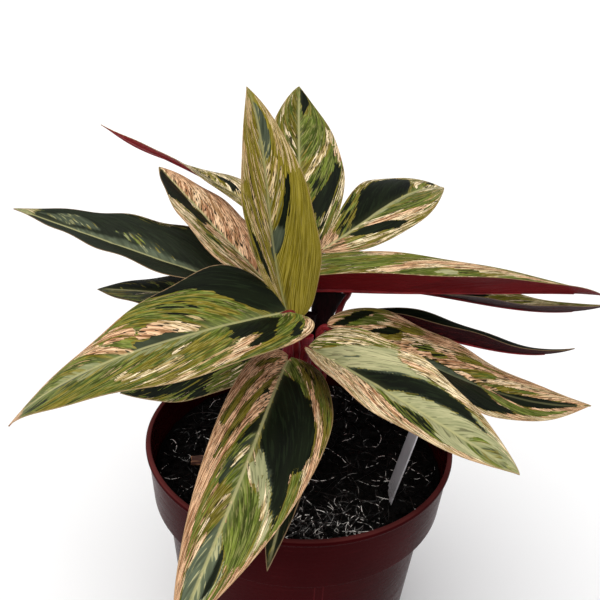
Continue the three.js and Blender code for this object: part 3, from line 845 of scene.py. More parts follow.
            Patch("48,-88 62,-76 83,-76 93,-58 96,-110 45,-110", pink=0.9, cream=0.15),
            Patch("0,30 10,40 22,66 33,84 45,92 46,110 0,110", green=0.3, dark=0.22, pink=0.12),
            Patch("4,3 12,12 25,57 23,64 11,36 4,20", green=0.9, dark=0.1),
            Patch("14,44 22,64 30,78 37,88 48,98 48,84 37,78 24,60", cream=0.45, pink=0.6),
            Patch("50,70 51,90 60,98 70,110 74,110 71,90 62,82", green=0.8, cream=0.12),
            Patch("56,2 58,15 64,54 71,78 80,85 80,40 72,4", green=1),
            Patch("72,3 78,25 82,60 92,60 94,2", grey=0.9, green=0.4, dark=0.55),
            Patch("45,110 46,88 49,83 56,95 66,100 78,90 90,85 92,110", cream=0.4, pink=0.7),
            Patch("52,2 53,15 56,30 56,42 62,64 69,87 76,93 77,86 67,67 60,34 56,4", cream=0.45, grey=0.9),
            Patch("14,2 15,10 19,35 22,48 26,60 37,77 46,86 52,82 52,72 50,61 58,79 63,84 69,91 69,87 "
                  "61,60 56,40 53,20 49,8 43,3 33,2", dark=1),
            Patch("48,8 50,19 56,42 55,28 52,12", grey=1),
            Patch("76,18 80,22 86,28 90,40 86,54 80,40", dark=1),
        ),
    ),
    Leaf(
        "leaf_low_left", foot=(-7.5, -2), base=(-14, -2, 37), length=58, widths=(17, 16),
        rise=(-15, -19, -21), heading=(185, 186, 188), roll=(-6, -15), fold=(3, 0),
        round=(0.55, 0.5), taper=(0.97, 0.9), lobes=(1, 1), sheath=0.6, wave=(0.6, 2, 0.5),
        ground=Patch(dark=0.82, green=0.7, cream=0.14),
        yellow=0.3, feather=2,
        patches=(
            Patch("10,30 18,110 42,110 36,35", green=0.85, dark=0.1, cream=0.14),
            Patch("50,75 50,110 90,110 85,80", green=0.7, dark=0.3, cream=0.2),
        ),
    ),
    Leaf(
        "leaf_long_left", foot=(-13, 12), base=(-17.3, 14, 53.7), length=127, widths=(16.9, 19.9),
        rise=(4, 4, 1), heading=(161, 155, 150), roll=(-7, 2), fold=(23, 17),
        round=(0.39, 0.55), taper=(1.06, 0.94), lobes=(2, 1), sheath=0.7, wave=(0.8, 4, 0.6),
        ground=Patch(dark=0.92, green=0.5, grey=0.08, cream=0.06),
        yellow=0.05, feather=2.4, sweep=1.2,
        patches=(
            Patch("90,-38 76,-66 62,-25 76,-12", green=0.6, dark=0.75, grey=0.5, cream=0.1),
            Patch("56,-28 46,-18 37,-2 25,20 27,0 38,-26 50,-42", dark=0.74, green=0.6, cream=0.2, grey=0.3),
            Patch("62,-110 60,-94 48,-88 34,-80 34,-110", cream=0.26, dark=0.66),
            Patch("20,14 40,6 60,10 80,34 90,34 86,2 60,-13 40,-16 22,-5", grey=0.75, dark=0.9, green=0.3),
            Patch("90,-110 90,110 100,110 100,-110", grey=0.55, cream=0.3, dark=0.1),
        ),
    ),
    Leaf(
        "leaf_pink_left", foot=(-9, 11), base=(-15, 8, 60), length=82, widths=(16, 15),
        rise=(24, 17, 12), heading=(138, 131, 127), roll=(9, 12), fold=(7, 16),
        round=(0.49, 0.49), taper=(0.95, 0.84), lobes=(1, 2), sheath=0.7, wave=(0.6, 3, 0.1),
        ground=Patch(cream=0.4, pink=0.25, green=0.2),
        yellow=0.5, feather=1.6, sweep=1.3,
        patches=(
            Patch("0,-3 90,-3 97,-50 97,-110 0,-110", pink=0.62, green=0.2, cream=0.34),
            Patch("10,-30 20,-35 40,-90 30,-100", green=0.7, dark=0.3),
            Patch("20,50 32,40 45,46 44,60 30,66", green=0.6, dark=0.3),
            Patch("44,4 43,45 57,62 62,82 70,110 90,110 98,50 97,-12 85,2 70,14 58,20 50,4", dark=1),
        ),
    ),
    Leaf(
        "leaf_twisted_left", foot=(-8, 18), base=(-17, 35.5, 74.5), length=111, widths=(9, 11.5),
        rise=(14, 6, 15), heading=(128, 142, 148), roll=(-13, 67), fold=(19, -3),
        round=(0.74, 0.81), taper=(1.48, 1.29), lobes=(0, 0), sheath=0.6, wave=(0.3, 3, 0.8),
        ground=Patch(cream=0.62, green=0.12, dark=0.14, pink=0.1),
        yellow=0.5, feather=1.2, sweep=1.3,
        patches=(
            Patch("0,110 0,-110 14,-110 14,110", green=0.25, cream=0.3),
            Patch("20,-18 25,-30 40,-52 36,-30", dark=0.85),
            Patch("16,50 30,20 42,30 40,110 16,110", cream=0.5, dark=0.3),
        ),
    ),
    Leaf(
        "leaf_small_left", foot=(-13, 16), base=(-18, 20, 47), length=79, widths=(13, 13),
        rise=(-1, -9, -16), heading=(175, 160, 149), roll=(-5, -10), fold=(3, 6),
        round=(0.5, 0.5), taper=(0.96, 0.88), lobes=(1, 1), sheath=0.7, wave=(0.5, 3, 0.3),
        ground=Patch(dark=0.88, green=0.4, cream=0.1),
        yellow=0.2, feather=2.4,
        patches=(
            Patch("30,5 30,95 95,90 95,5", dark=0.5, green=0.5, grey=0.2, cream=0.2),
        ),
    ),
    Leaf(
        "leaf_small_front", foot=(-2, -9), base=(-2, -14, 33), length=70, widths=(8, 9),
        rise=(-5, -28, -51), heading=(-84, -96, -110), roll=(7, 16), fold=(12, 15),
        round=(0.46, 0.5), taper=(0.94, 0.89), lobes=(1, 1), sheath=0.8, wave=(0.5, 3, 0.5),
        ground=Patch(dark=0.86, green=0.3, cream=0.16),
        yellow=0.3, feather=2,
    ),
)


# ---- blades and petioles


@dataclass(frozen=True)
class Chart:
    """A blade's upper face on a grid of stations along it by columns from left to right.

    Attributes:
        s: share of the midrib at each station.
        across: from 1 at the left margin to -1 at the right.
        points: places in millimetres, in the shape (stations, columns, 3).
        reach: distance from the midrib, in millimetres.
        half: half width at each place, in millimetres.
        up: the direction out of the face at each place.
    """

    s: np.ndarray
    across: np.ndarray
    points: np.ndarray
    reach: np.ndarray
    half: np.ndarray
    up: np.ndarray


@dataclass
class Blade:
    """One leaf's blade and petiole as Blender pieces.

    Attributes:
        leaf: its shape and markings.
        number: which leaf it is, for its own random streaks.
        thickness: of the blade at its midrib.
        margin: the share of it that is left at the margin.
        bulge: how far a half bows up, in half widths.
        lobe_fade, lobe_rise: how the basal lobes die away.
        vein_slope: how far a lateral vein runs towards the tip for each millimetre outwards.
        vein_bend: how much further it is swept on by the margin, as a share of the midrib.
        ripple, groove: how high the face's ripple stands and how deep its midrib is sunk.
        fade: millimetres over which a patch's edge fades.
        station, column: millimetres between grid lines along and across.
        stalk, knee: the petiole's radius and the length of its swollen end.
        sleeve: the sheath's radius at its foot and at its top.
    """

    leaf: Leaf
    number: int
    thickness: float = 0.46
    margin: float = 0.45
    bulge: float = 0.05
    lobe_fade: float = 5.0
    lobe_rise: float = 1.4
    vein_slope: float = 1.5
    vein_bend: float = 0.26
    ripple: float = 0.16
    groove: float = 0.22
    fade: float = 0.9
    station: float = 0.8
    column: float = 0.6
    stalk: float = 1.3
    knee: float = 7.0
    sleeve: tuple[float, float] = (2.7, 2.0)

    def directions(self, s: np.ndarray) -> tuple[np.ndarray, np.ndarray, np.ndarray]:
        """The directions along the midrib, to its left and up from it.

        along = (cos rise cos heading, cos rise sin heading, sin rise); level = (-sin heading,
        cos heading, 0); upright = along x level. Left and up are level and upright turned by the roll.

        Args:
            s: shares of the midrib.

        Returns:
            along, left and up at each share.
        """
        leaf = self.leaf
        rise, heading = np.radians(through(leaf.rise, s)), np.radians(through(leaf.heading, s))
        roll = np.radians(leaf.roll[0] + (leaf.roll[1] - leaf.roll[0]) * s)[:, None]
        along = np.stack([np.cos(rise) * np.cos(heading), np.cos(rise) * np.sin(heading), np.sin(rise)], -1)
        level = np.stack([-np.sin(heading), np.cos(heading), 0 * heading], -1)
        upright = np.cross(along, level)
        left = np.cos(roll) * level + np.sin(roll) * upright
        return along, left, np.cos(roll) * upright - np.sin(roll) * level

    def midrib(self, s: np.ndarray) -> np.ndarray:
        """Points of the midrib: its base plus the sum of along * length / steps over fine steps.

        Args:
            s: shares of its length.

        Returns:
            A point for each share.
        """
        steps = 400
        fine = np.linspace(0, 1, steps + 1)
        along = self.directions((fine[1:] + fine[:-1]) / 2)[0] * self.leaf.length / steps
        run = np.vstack([[0, 0, 0], np.cumsum(along, 0)]) + np.array(self.leaf.base) + [0, 0, RIM_TOP]
        return np.stack([np.interp(s, fine, run[:, k]) for k in range(3)], -1)

    def vein(self, s: np.ndarray, out: np.ndarray, reach: np.ndarray) -> np.ndarray:
        """Where on the midrib a place's lateral vein starts, in millimetres.

        start = s * length - sweep * (slope * reach + bend * length * out^3).

        Args:
            s: share of the midrib.
            out: distance from the midrib as a share of the half width.
            reach: the same distance in millimetres.

        Returns:
            The vein's start.
        """
        bend = self.vein_bend * self.leaf.length
        return s * self.leaf.length - self.leaf.sweep * (self.vein_slope * reach + bend * out**3)

    def chart(self) -> Chart:
        """The upper face.

        share(s) = (s / w)^round * ((1 - s) / (1 - w))^taper with w = round / (round + taper).
        point = midrib + half * across * cos(fold) * left
            + (half * (out * sin(fold) + 4 * bulge * out * (1 - out)) + wave) * up
            - lobe * (1 - s)^fade * out * min(1, rise * share) * along,
        where half = width * share, out = |across| and wave = height * share * out^3 * sin(2 pi
        (count * s + phase + side / 3)). A low ripple that follows the veins is added, and the midrib
        is sunk by groove * share * exp(-(reach / 0.9)^2). Stations stand closer near both ends.

        Returns:
            The chart of the whole face, both ends of the midrib included.
        """
        leaf = self.leaf
        rows = int(leaf.length / self.station)
        columns = 2 * int(sum(leaf.widths) / 2 / self.column) + 1
        t = np.linspace(0, 1, rows)
        s = 0.65 * t + 0.35 * (1 - np.cos(np.pi * t)) / 2
        across = np.linspace(1, -1, columns)
        along, left, up = self.directions(s)
        rib = self.midrib(s)
        side = (across < 0).astype(int)
        halves = (leaf.round, leaf.taper, leaf.widths, leaf.lobes)
        low, high, width, lobe = (np.array(pair, float)[side][None, :] for pair in halves)
        out = np.abs(across)[None, :]
        widest = low / (low + high)
        share = (s[:, None] / widest) ** low * ((1 - s[:, None]) / (1 - widest)) ** high
        half = width * share
        fold = np.radians(leaf.fold[0] + (leaf.fold[1] - leaf.fold[0]) * s)[:, None]
        height, count, phase = leaf.wave
        turns = count * s[:, None] + phase + side[None, :] / 3
        wave = height * share * out**3 * np.sin(2 * np.pi * turns)
        reach = half * out
        vein = self.vein(s[:, None], out, reach)
        beside = np.broadcast_to(across * 2.0, vein.shape) + 9
        ripple = self.ripple * value_noise(vein / 4.2, beside, 40 + self.number)
        lift = half * (out * np.sin(fold) + 4 * self.bulge * out * (1 - out)) + wave
        lift = lift + ripple * share * (1 - out**4) - self.groove * share * np.exp(-((reach / 0.9) ** 2))
        back = lobe * (1 - s[:, None]) ** self.lobe_fade * out * np.minimum(1, self.lobe_rise * share)
        points = (
            rib[:, None]
            + (half * across[None, :] * np.cos(fold))[..., None] * left[:, None]
            + lift[..., None] * up[:, None]
            - back[..., None] * along[:, None]
        )
        normal = unit(np.cross(np.gradient(points, axis=0), -np.gradient(points, axis=1)))
        normal[[0, -1]] = up[[0, -1], None]
        return Chart(s, across, points, reach, half, normal)

    def markings(self, chart: Chart) -> dict[str, np.ndarray]:
        """The marks that the blade's finish reads.

        "vein" holds the vein's start, the run along the vein and the leaf's number. The run is
        reach * hypot(1, slope) + bend * length * out^3, above 0 to the midrib's left. "tissue" holds
        the shares of dark, green, pale and grey; "tone" how pink the pale is, the distance to the
        margin and how yellow the ground is; "rib" how far the midrib fans out, the share of it and
        the distance from it. A patch painted over others leaves them (1 - cover) of their share.
        Patches are read a few millimetres further along the vein, by stepped noise, so that their
        edges break off from vein to vein.

        Args:
            chart: the upper face.

        Returns:
            The marks on the grid.
        """
        leaf = self.leaf
        width = float(np.mean(leaf.widths))
        s = np.broadcast_to(chart.s[:, None], chart.reach.shape)
        across = np.broadcast_to(chart.across[None, :], chart.reach.shape)
        out, side = np.abs(across), np.sign(across)
        slope, bend = leaf.sweep * self.vein_slope, leaf.sweep * self.vein_bend * leaf.length
        vein = self.vein(s, out, chart.reach)
        run = side * (chart.reach * math.hypot(1, slope) + bend * out**3)
        steps = 1.7 * value_noise(vein / 4.6, run / 24 + 20, 70 + self.number, 0.3)
        steps = steps + 1.0 * value_noise(vein / 2.1, run / 10 + 20, 170 + self.number, 0.4)
        stray = steps * np.minimum(1, chart.reach / 4)
        local = slope + 3 * bend * out**2 / np.maximum(chart.half, 1)
        wobble = 0.3 * value_noise(run / 6 + 30, vein / 9 + 20, 270 + self.number)
        s_read = s + (stray * local + wobble) / np.hypot(1, local) / leaf.length
        across_read = across + side * (stray - wobble * local) / np.hypot(1, local) / width
        shares = np.broadcast_to(leaf.ground.mixture(), (*s.shape, len(Tissue)))
        for patch in leaf.patches:
            cover = patch.cover(s_read, across_read, leaf.length, width, self.fade)[..., None]
            shares = shares * (1 - cover) + patch.mixture() * cover
        dark, green, cream, pink, grey = (shares[..., t.value] for t in Tissue)
        rosy = pink / np.maximum(cream + pink, 1e-3)
        flat = np.ones(s.shape)
        return {
            "vein": np.stack([vein, run, flat * self.number * 31], -1),
            "tissue": np.stack([dark, green, np.clip(cream + pink, 0, 1), grey], -1),
            "tone": np.stack([rosy, chart.half - chart.reach, flat * leaf.yellow], -1),
            "rib": np.stack([flat * leaf.feather, s, chart.reach], -1),
        }

    def skin(self) -> Skin:
        """The closed blade: upper face, lower face and the thin wall round its margin.

        The lower face is the upper less thickness * (1 - (1 - margin) * |across|^3) along its normal.

        Returns:
            The skin, with material 0 above and on the margin and 1 below.
        """
        chart = self.chart()
        thick = self.thickness * (1 - (1 - self.margin) * np.abs(chart.across) ** 3)
        under = chart.points - thick[None, :, None] * chart.up
        rows, columns = chart.reach.shape
        inner = rows - 2
        size = inner * columns
        at = np.arange(size).reshape(inner, columns)
        top = self.side_faces(at, size)
        bottom = [f[:, ::-1] + size + 2 for f in self.side_faces(at, size)]
        margin = []
        for column, turn in ((at[:, 0], 1), (at[:, -1], -1)):
            line = np.concatenate([[size], column, [size + 1]])
            wall = np.stack([line[:-1], line[1:], line[1:] + size + 2, line[:-1] + size + 2], -1)
            margin.append(wall[:, ::turn])
        marks = {k: np.concatenate([self.listed(v)] * 2) for k, v in self.markings(chart).items()}
        points = np.concatenate([self.listed(chart.points), self.listed(under)])
        return Skin(points, top + margin + bottom, [0] * len(top + margin) + [1] * len(bottom), marks)

    @staticmethod
    def listed(grid: np.ndarray) -> np.ndarray:
        """A grid's values row by row, its two end rows as one value each at the end."""
        return np.concatenate([grid[1:-1].reshape(-1, grid.shape[-1]), grid[[0, -1], grid.shape[1] // 2]])

    @staticmethod
    def side_faces(at: np.ndarray, size: int) -> list[np.ndarray]:
        """The faces of one side: quads over the grid and a fan of triangles at each end.

        Args:
            at: vertex numbers of the grid without its two end rows.
            size: the number of the base's point; the tip's is the next.

        Returns:
            Quads, base triangles and tip triangles, anticlockwise seen from above.
        """
        quads = np.stack([at[:-1, :-1], at[:-1, 1:], at[1:, 1:], at[1:, :-1]], -1).reshape(-1, 4)
        end = np.full(at.shape[1] - 1, size)
        base = np.stack([end, at[0, 1:], at[0, :-1]], -1)
        tip = np.stack([end + 1, at[-1, :-1], at[-1, 1:]], -1)
        return [quads, base, tip]

    def petiole_path(self) -> np.ndarray:
        """The petiole's line, straight up out of the soil and on into the blade's base.

        It is bezier(foot, foot + 0.85 * height, end - 3 * along, end), where end lies 0.84 below the
        upper face.

        Returns:
            Its points, close together.
        """
        along, _, up = (v[0] for v in self.directions(np.zeros(1)))
        end = np.array(self.leaf.base) + [0, 0, RIM_TOP] - 0.84 * up
        foot = np.array([*self.leaf.foot, STEM_FOOT])
        lead = foot + [0, 0, 0.85 * (end[2] - foot[2])]
        return bezier(np.array([foot, lead, end - 3 * along, end]), np.linspace(0, 1, 201))

    def petiole_side(self) -> np.ndarray:
        """A level direction square to the petiole's bend.

        Returns:
            (-y, x, 0) of its lean plus 4 of the midrib's heading, as a unit vector.
        """
        path = self.petiole_path()
        lean = (path[-1] - path[0]) * [1, 1, 0]
        heading = math.radians(self.leaf.heading[0])
        lean = lean + 4 * np.array([math.cos(heading), math.sin(heading), 0])
        return unit(np.array([-lean[1], lean[0], 0.0]))

    def petiole(self) -> Skin:
        """The petiole above its sheath with its swollen knee, running on into the keel below the blade.

        radius = stalk + 0.5 * sin(pi * t)^1.5 over the knee; the keel's falls from 1.28 to 0.24, and
        its middle lies up to a radius and 0.36 below the midrib.

        Returns:
            The skin, with the mark "grain".
        """
        path = spaced(self.petiole_path(), np.linspace(self.leaf.sheath - 0.04, 1, 60))
        run = runs(path)
        knee = np.clip(1 - (run[-1] - run) / self.knee, 0, 1)
        radii = self.stalk + 0.5 * np.sin(np.pi * np.minimum(knee * 1.15, 1)) ** 1.5
        s = np.linspace(0.012, 0.86, 70)
        _, left, up = self.directions(s)
        keel_radii = 0.2 + 0.6 * (1 - s / 0.9) ** 0.9 + 0.5 * (1 - smooth(0, 0.12, s))
        sink = keel_radii * (0.6 + 0.4 * smooth(0, 0.06, s)) + 0.12 + 0.24 * smooth(0, 0.06, s)
        keel = self.midrib(s) - sink[:, None] * up
        side = np.concatenate([np.broadcast_to(self.petiole_side(), path.shape), left])
        sign = np.sign((side[0] * left[0]).sum()) or 1.0
        side[: len(path)] *= sign
        blend = smooth(-8, 0, run - run[-1])[:, None]
        side[: len(path)] = unit((1 - blend) * side[: len(path)] + blend * left[0])
        return tube(np.concatenate([path, keel]), side, np.concatenate([radii, keel_radii]), 12)

    def sheath(self) -> Skin:
        """The sheath that wraps the petiole's foot, one edge lapped over the other.

        radius = foot + (top - foot) * t^0.8, and over the lap a step of 0.38 that fades round the tube;
        fine ribs stand 0.05 high. The last millimetres close in on the petiole.

        Returns:
            The skin, with the mark "grain".
        """
        sides, rows = 40, 44
        path = spaced(self.petiole_path(), np.linspace(0, self.leaf.sheath, rows))
        t = np.linspace(0, 1, rows)[:, None]
        angle = ring_angles(sides)[None, :]
        turned = (angle + 0.9 * self.number + 0.5 * t) % (2 * np.pi)
        lap = 0.38 * smooth(0, 0.5, turned) * (1 - turned / (2 * np.pi)) ** 1.5
        ribs = 0.05 * np.sin(14 * angle)
        close = 1 - 0.42 * smooth(0.955, 1, t)
        foot, top = self.sleeve
        radii = (foot + (top - foot) * t**0.8 + lap + ribs) * close
        return tube(path, self.petiole_side(), radii, sides)


@dataclass(frozen=True)
class BladeFinish:
    """The upper face: streaks of each tissue along the lateral veins, over an olive ground.

    Attributes:
        roughness: of the face.
        gloss: its specular level.
        streak: millimetres from vein to vein and along them of a broad streak.
        stripe: the same for a middling one.
        dash: the same for a fine one.
        drift: the same for a slow change of tone.
        thread: the same for the long thin streaks of a yellow ground.
        mark: the same for the small dark marks on pale tissue.
        hollow: the same for the dark gaps in the olive ground.
    """

    roughness: float = 0.44
    gloss: float = 0.05
    streak: tuple[float, float] = (5.4, 24.0)
    stripe: tuple[float, float] = (2.3, 10.0)
    dash: tuple[float, float] = (0.95, 4.2)
    drift: tuple[float, float] = (14.0, 34.0)
    thread: tuple[float, float] = (0.8, 18.0)
    mark: tuple[float, float] = (1.0, 3.0)
    hollow: tuple[float, float] = (1.6, 9.0)

    def grain(self, paint: Paint, vein: Socket, size: tuple[float, float], detail: float = 2.0) -> Wire:
        """Noise drawn out along the veins: (vein's start / size[0], run / size[1]).

        Args:
            paint: the material.
            vein: the mark "vein", or that with another third value for other noise.
            size: millimetres of a streak from vein to vein and along them.
            detail: its finer layers.

        Returns:
            The noise.
        """
        return paint.noise(paint.stretched(vein, (1 / size[0], 1 / size[1], 1.0)), 1.0, detail)

    @staticmethod
    def cover(level: Wire, grain: Wire, soft: float) -> Wire:
        """Where a tissue shows: level * 1.25 - 0.12 above the grain.

        Args:
            level: the share that it is to cover.
            grain: the noise that decides where.
            soft: the softness of its edge.

        Returns:
            The tissue's mask.
        """
        return (level * 1.25 - 0.12 - grain).rise(-soft, soft)

    def material(self) -> Material:
        """Builds the upper face's material.

        Returns:
            The material.
        """
        paint = Paint("blade_upper")
        vein = paint.mark("vein").outputs["Vector"]
        twin = paint.stretched(vein, (1.0, 1.0, 3.1))
        x, _, _ = paint.split(vein)
        tissue = paint.mark("tissue")
        dark, green, pale = paint.split(tissue.outputs["Vector"])
        grey = Wire(paint, tissue.outputs["Alpha"])
        rosy, edge, yellow = paint.split(paint.mark("tone").outputs["Vector"])
        feather, share, away = paint.split(paint.mark("rib").outputs["Vector"])
        broad, other = self.grain(paint, vein, self.streak), self.grain(paint, twin, self.streak)
        middle, second = self.grain(paint, vein, self.stripe), self.grain(paint, twin, self.stripe)
        fine, fleck = self.grain(paint, vein, self.dash, 1.0), self.grain(paint, twin, self.dash, 1.0)
        drift, long = self.grain(paint, vein, self.drift, 1.0), self.grain(paint, twin, self.thread, 1.0)
        mixed = (broad * 0.62 + middle * 0.32 + fine * 0.06).rise(0.15, 0.85)
        crossed = (other * 0.62 + second * 0.32 + fleck * 0.06).rise(0.15, 0.85)
        calm = 1 - yellow * 0.75
        jagged = (broad * 0.35 + second * 0.5 + fleck * 0.15).rise(0.18, 0.82)

        ground = paint.coat(
            paint.mix(drift, "4a4614", "655e20"),
            (yellow * (0.7 + 0.3 * middle), "837610"),
            (other.rise(0.45, 0.2) * 0.6 * calm, "272405"),
            (middle.rise(0.4, 0.25) * 0.6 * calm, "302c07"),
            (second.rise(0.66, 0.9) * 0.45 * calm, "8d8244"),
            (long.rise(0.5, 0.7) * yellow * 0.6, "b8a748"),
            (long.rise(0.45, 0.3) * yellow * 0.5, "463806"),
            (pale * rosy * 0.8, "453615"),
        )
        leafy = paint.coat(
            paint.mix(drift, "43521a", "6f7c2d"),
            (broad.rise(0.5, 0.25) * 0.6, "263008"),
            (middle.rise(0.45, 0.25) * 0.6, "283209"),
            (second.rise(0.6, 0.85) * 0.5, "8f9a4e"),
            (pale * rosy * 0.5, "4c481c"),
        )
        ashen = paint.mix(drift * 0.6 + second * 0.4, "82865f", "bdb98e")
        ashen = paint.mix(middle.rise(0.3, 0.1) * 0.4, ashen, "5f6a42")
        milk = paint.mix(second.rise(0.2, 0.75), "b49d6a", "f9e6c0")
        blush = paint.mix(second.rise(0.2, 0.75), "a57553", "f0c49c")
        light = paint.mix((rosy * 1.1 + (drift - 0.5) * 0.5).rise(0.25, 0.75), milk, blush)
        light = paint.mix(yellow.rise(0.55, 0.95) * 0.38, light, "c19d50")
        deep = paint.coat(
            paint.mix(drift, "090d06", "141a0d"),
            (middle.rise(0.6, 0.9) * 0.3, "26321d"),
            (grey * (0.4 + second * 0.5), "737e66"),
        )

        specks = fine.rise(0.44, 0.28) * (1 - dark) * calm
        flecks = fleck.rise(0.72, 0.84) * (1 - dark) * calm
        halo = (pale * 1.25 - 0.12 - mixed).rise(-0.1, -0.03) * pale.rise(0.02, 0.1)
        pale_mask = self.cover(pale, mixed, 0.025)
        dashes = self.grain(paint, twin, self.mark, 0.0).rise(0.86, 0.9)
        hollow = self.grain(paint, vein, self.hollow, 1.0).rise(0.17, 0.12)
        spread = (1 - away / feather - (middle - 0.5) * 0.3).rise(0.0, 1.0) * 0.38
        line = away.rise(0.7, 0.25) * share.rise(1.0, 0.86)
        rim = (edge + (middle - 0.5) * 0.3).rise(0.42, 0.12)
        colour = paint.coat(
            ground,
            (self.cover(green, crossed, 0.05), leafy),
            (specks * 0.42, "302d06"),
            (flecks * 0.3, "cfc083"),
            (self.cover(grey, drift * 0.4 + middle * 0.6, 0.2), ashen),
            (halo * 0.75, "2b2a0e"),
            (pale_mask, light),
            (fine.rise(0.38, 0.22) * 0.5 * pale_mask, "5a4214"),
            (dashes * (0.1 + 0.85 * pale_mask), "1b180a"),
            (hollow * 0.7 * calm, "26250d"),
            (self.cover(dark, jagged, 0.03), deep),
            (spread * (1 - pale_mask * 0.7) * (1 - dark * 0.8), "7f8559"),
            (line * feather.rise(0.3, 2.0) * 0.7, "aeaa7a"),
            (rim * 0.6, "a98c69"),
        )
        ridge = (x * (2 * math.pi / 2.1)).sine() * 0.5 + 0.5
        paint.relief(ridge * 0.4 + fine * 0.6, 0.00006, 0.5)
        rough = self.roughness + (fine - 0.5) * 0.12
        return paint.shade(Base_Color=colour, Roughness=rough, Specular_IOR_Level=self.gloss)


@dataclass(frozen=True)
class UndersideFinish:
    """The lower face: maroon, redder under pale tissue, with fine streaks along the veins."""

    roughness: float = 0.4

    def material(self) -> Material:
        """Builds the lower face's material.

        Returns:
            The material.
        """
        paint = Paint("blade_under")
        vein = paint.mark("vein").outputs["Vector"]
        tissue = paint.mark("tissue")
        dark, _, pale = paint.split(tissue.outputs["Vector"])
        broad = paint.noise(paint.stretched(vein, (1 / 1.4, 1 / 9, 1.0)), 1.0)
        fine = paint.noise(paint.stretched(vein, (1 / 0.5, 1 / 6, 1.0)), 1.0)
        colour = paint.coat(
            paint.mix(broad, "560f14", "701c20"),
            ((pale * 1.2 - broad * 0.8).rise(0.0, 0.5) * 0.6, "8c2e2e"),
            (dark.rise(0.4, 0.95) * 0.93, "170508"),
            (fine.rise(0.7, 1.0) * 0.4, "8a2c2c"),
        )
        paint.relief(fine, 0.00012, 0.5)
        rough = self.roughness + (fine - 0.5) * 0.1
        tint = (1.0, 0.35, 0.35, 1.0)
        return paint.shade(Base_Color=colour, Roughness=rough, Specular_IOR_Level=0.02, Specular_Tint=tint)


@dataclass(frozen=True)
class StemFinish:
    """Petioles and sheaths: fibres along a maroon skin.

    Attributes:
        name: the material's name.
        deep: the skin's darker colour.
        bright: its lighter colour.
        roughness: of the skin.
        gloss: its specular level.
    """

    name: str
    deep: str
    bright: str
    roughness: float = 0.38
    gloss: float = 0.15

    def material(self) -> Material:
        """Builds the material from noise drawn out along the tube.

        Returns:
            The material.
        """
        paint = Paint(self.name)
        grain = paint.mark("grain").outputs["Vector"]
        fibre = paint.noise(paint.stretched(grain, (2.2, 2.2, 0.09)), 1.0)
        blotch = paint.noise(paint.stretched(grain, (0.3, 0.3, 0.12)), 1.0)
        colour = paint.coat(
            paint.mix(blotch, self.deep, self.bright),
            (fibre.rise(0.6, 1.0) * 0.35, self.bright),
            (fibre.rise(0.35, 0.0) * 0.5, self.deep),
        )
        paint.relief(fibre, 0.0002, 0.6)
        rough = self.roughness + (fibre - 0.5) * 0.15
        return paint.shade(Base_Color=colour, Roughness=rough, Specular_IOR_Level=self.gloss)


@dataclass(frozen=True)
class Cowl:
    """A broad sheath with no petiole in it: flattened rings on bezier(foot, waist, top).

    Attributes:
        foot, waist, top: its curve's points, with heights above the pot's rim for the last two.
        foot_half, top_half: half widths at its two ends.
        power: how late it widens.
        flatness: its depth as a share of its width.
        depth: the least half depth.
    """

    foot: tuple[float, float]
    waist: tuple[float, float, float]
    top: tuple[float, float, float]
    foot_half: float = 2.4
    top_half: float = 6.3
    power: float = 3.0
    flatness: float = 0.5
    depth: float = 1.2

    def skin(self) -> Skin:
        """The sheath, hollow at its mouth.

        half width = foot_half + (top_half - foot_half) * t^power; one edge laps the other by a tenth,
        fine ribs stand 0.015 of it high, and the inner wall runs back down from the mouth.

        Returns:
            The skin, with the mark "grain".
        """
        sides, rows, wall = 48, 60, 0.5
        controls = np.array([[*self.foot, STEM_FOOT], self.waist, self.top], float)
        controls[1:, 2] += RIM_TOP
        t = np.linspace(0, 1, rows)
        path = bezier(controls, t)
        along = unit(np.gradient(path, axis=0))
        across = unit(np.array([1.0, 0, 0]) - along[:, :1] * along)
        back = np.cross(along, across)
        angle = ring_angles(sides)
        half = (self.foot_half + (self.top_half - self.foot_half) * t**self.power)[:, None]
        deep = np.maximum(self.flatness * half, self.depth)
        lap = 1 + 0.1 * smooth(0, 0.4, angle)[None, :] * (1 - angle / (2 * np.pi))[None, :] ** 2
        ribs = 1 + 0.015 * np.sin(18 * angle)[None, :]
        inner = np.arange(rows - 1, rows - 16, -1)
        rows_at = np.concatenate([np.arange(rows), inner])
        inset = np.concatenate([np.zeros(rows), np.full(len(inner), wall)])[:, None]
        c = (half[rows_at] * lap * ribs - inset) * np.cos(angle)
        s = (deep[rows_at] * lap * ribs - inset) * np.sin(angle)
        wide, high = across[rows_at, None], back[rows_at, None]
        skin = loft(path[rows_at, None] + c[..., None] * wide + s[..., None] * high)
        skin.marks["grain"] = skin.points - controls[0]
        return skin


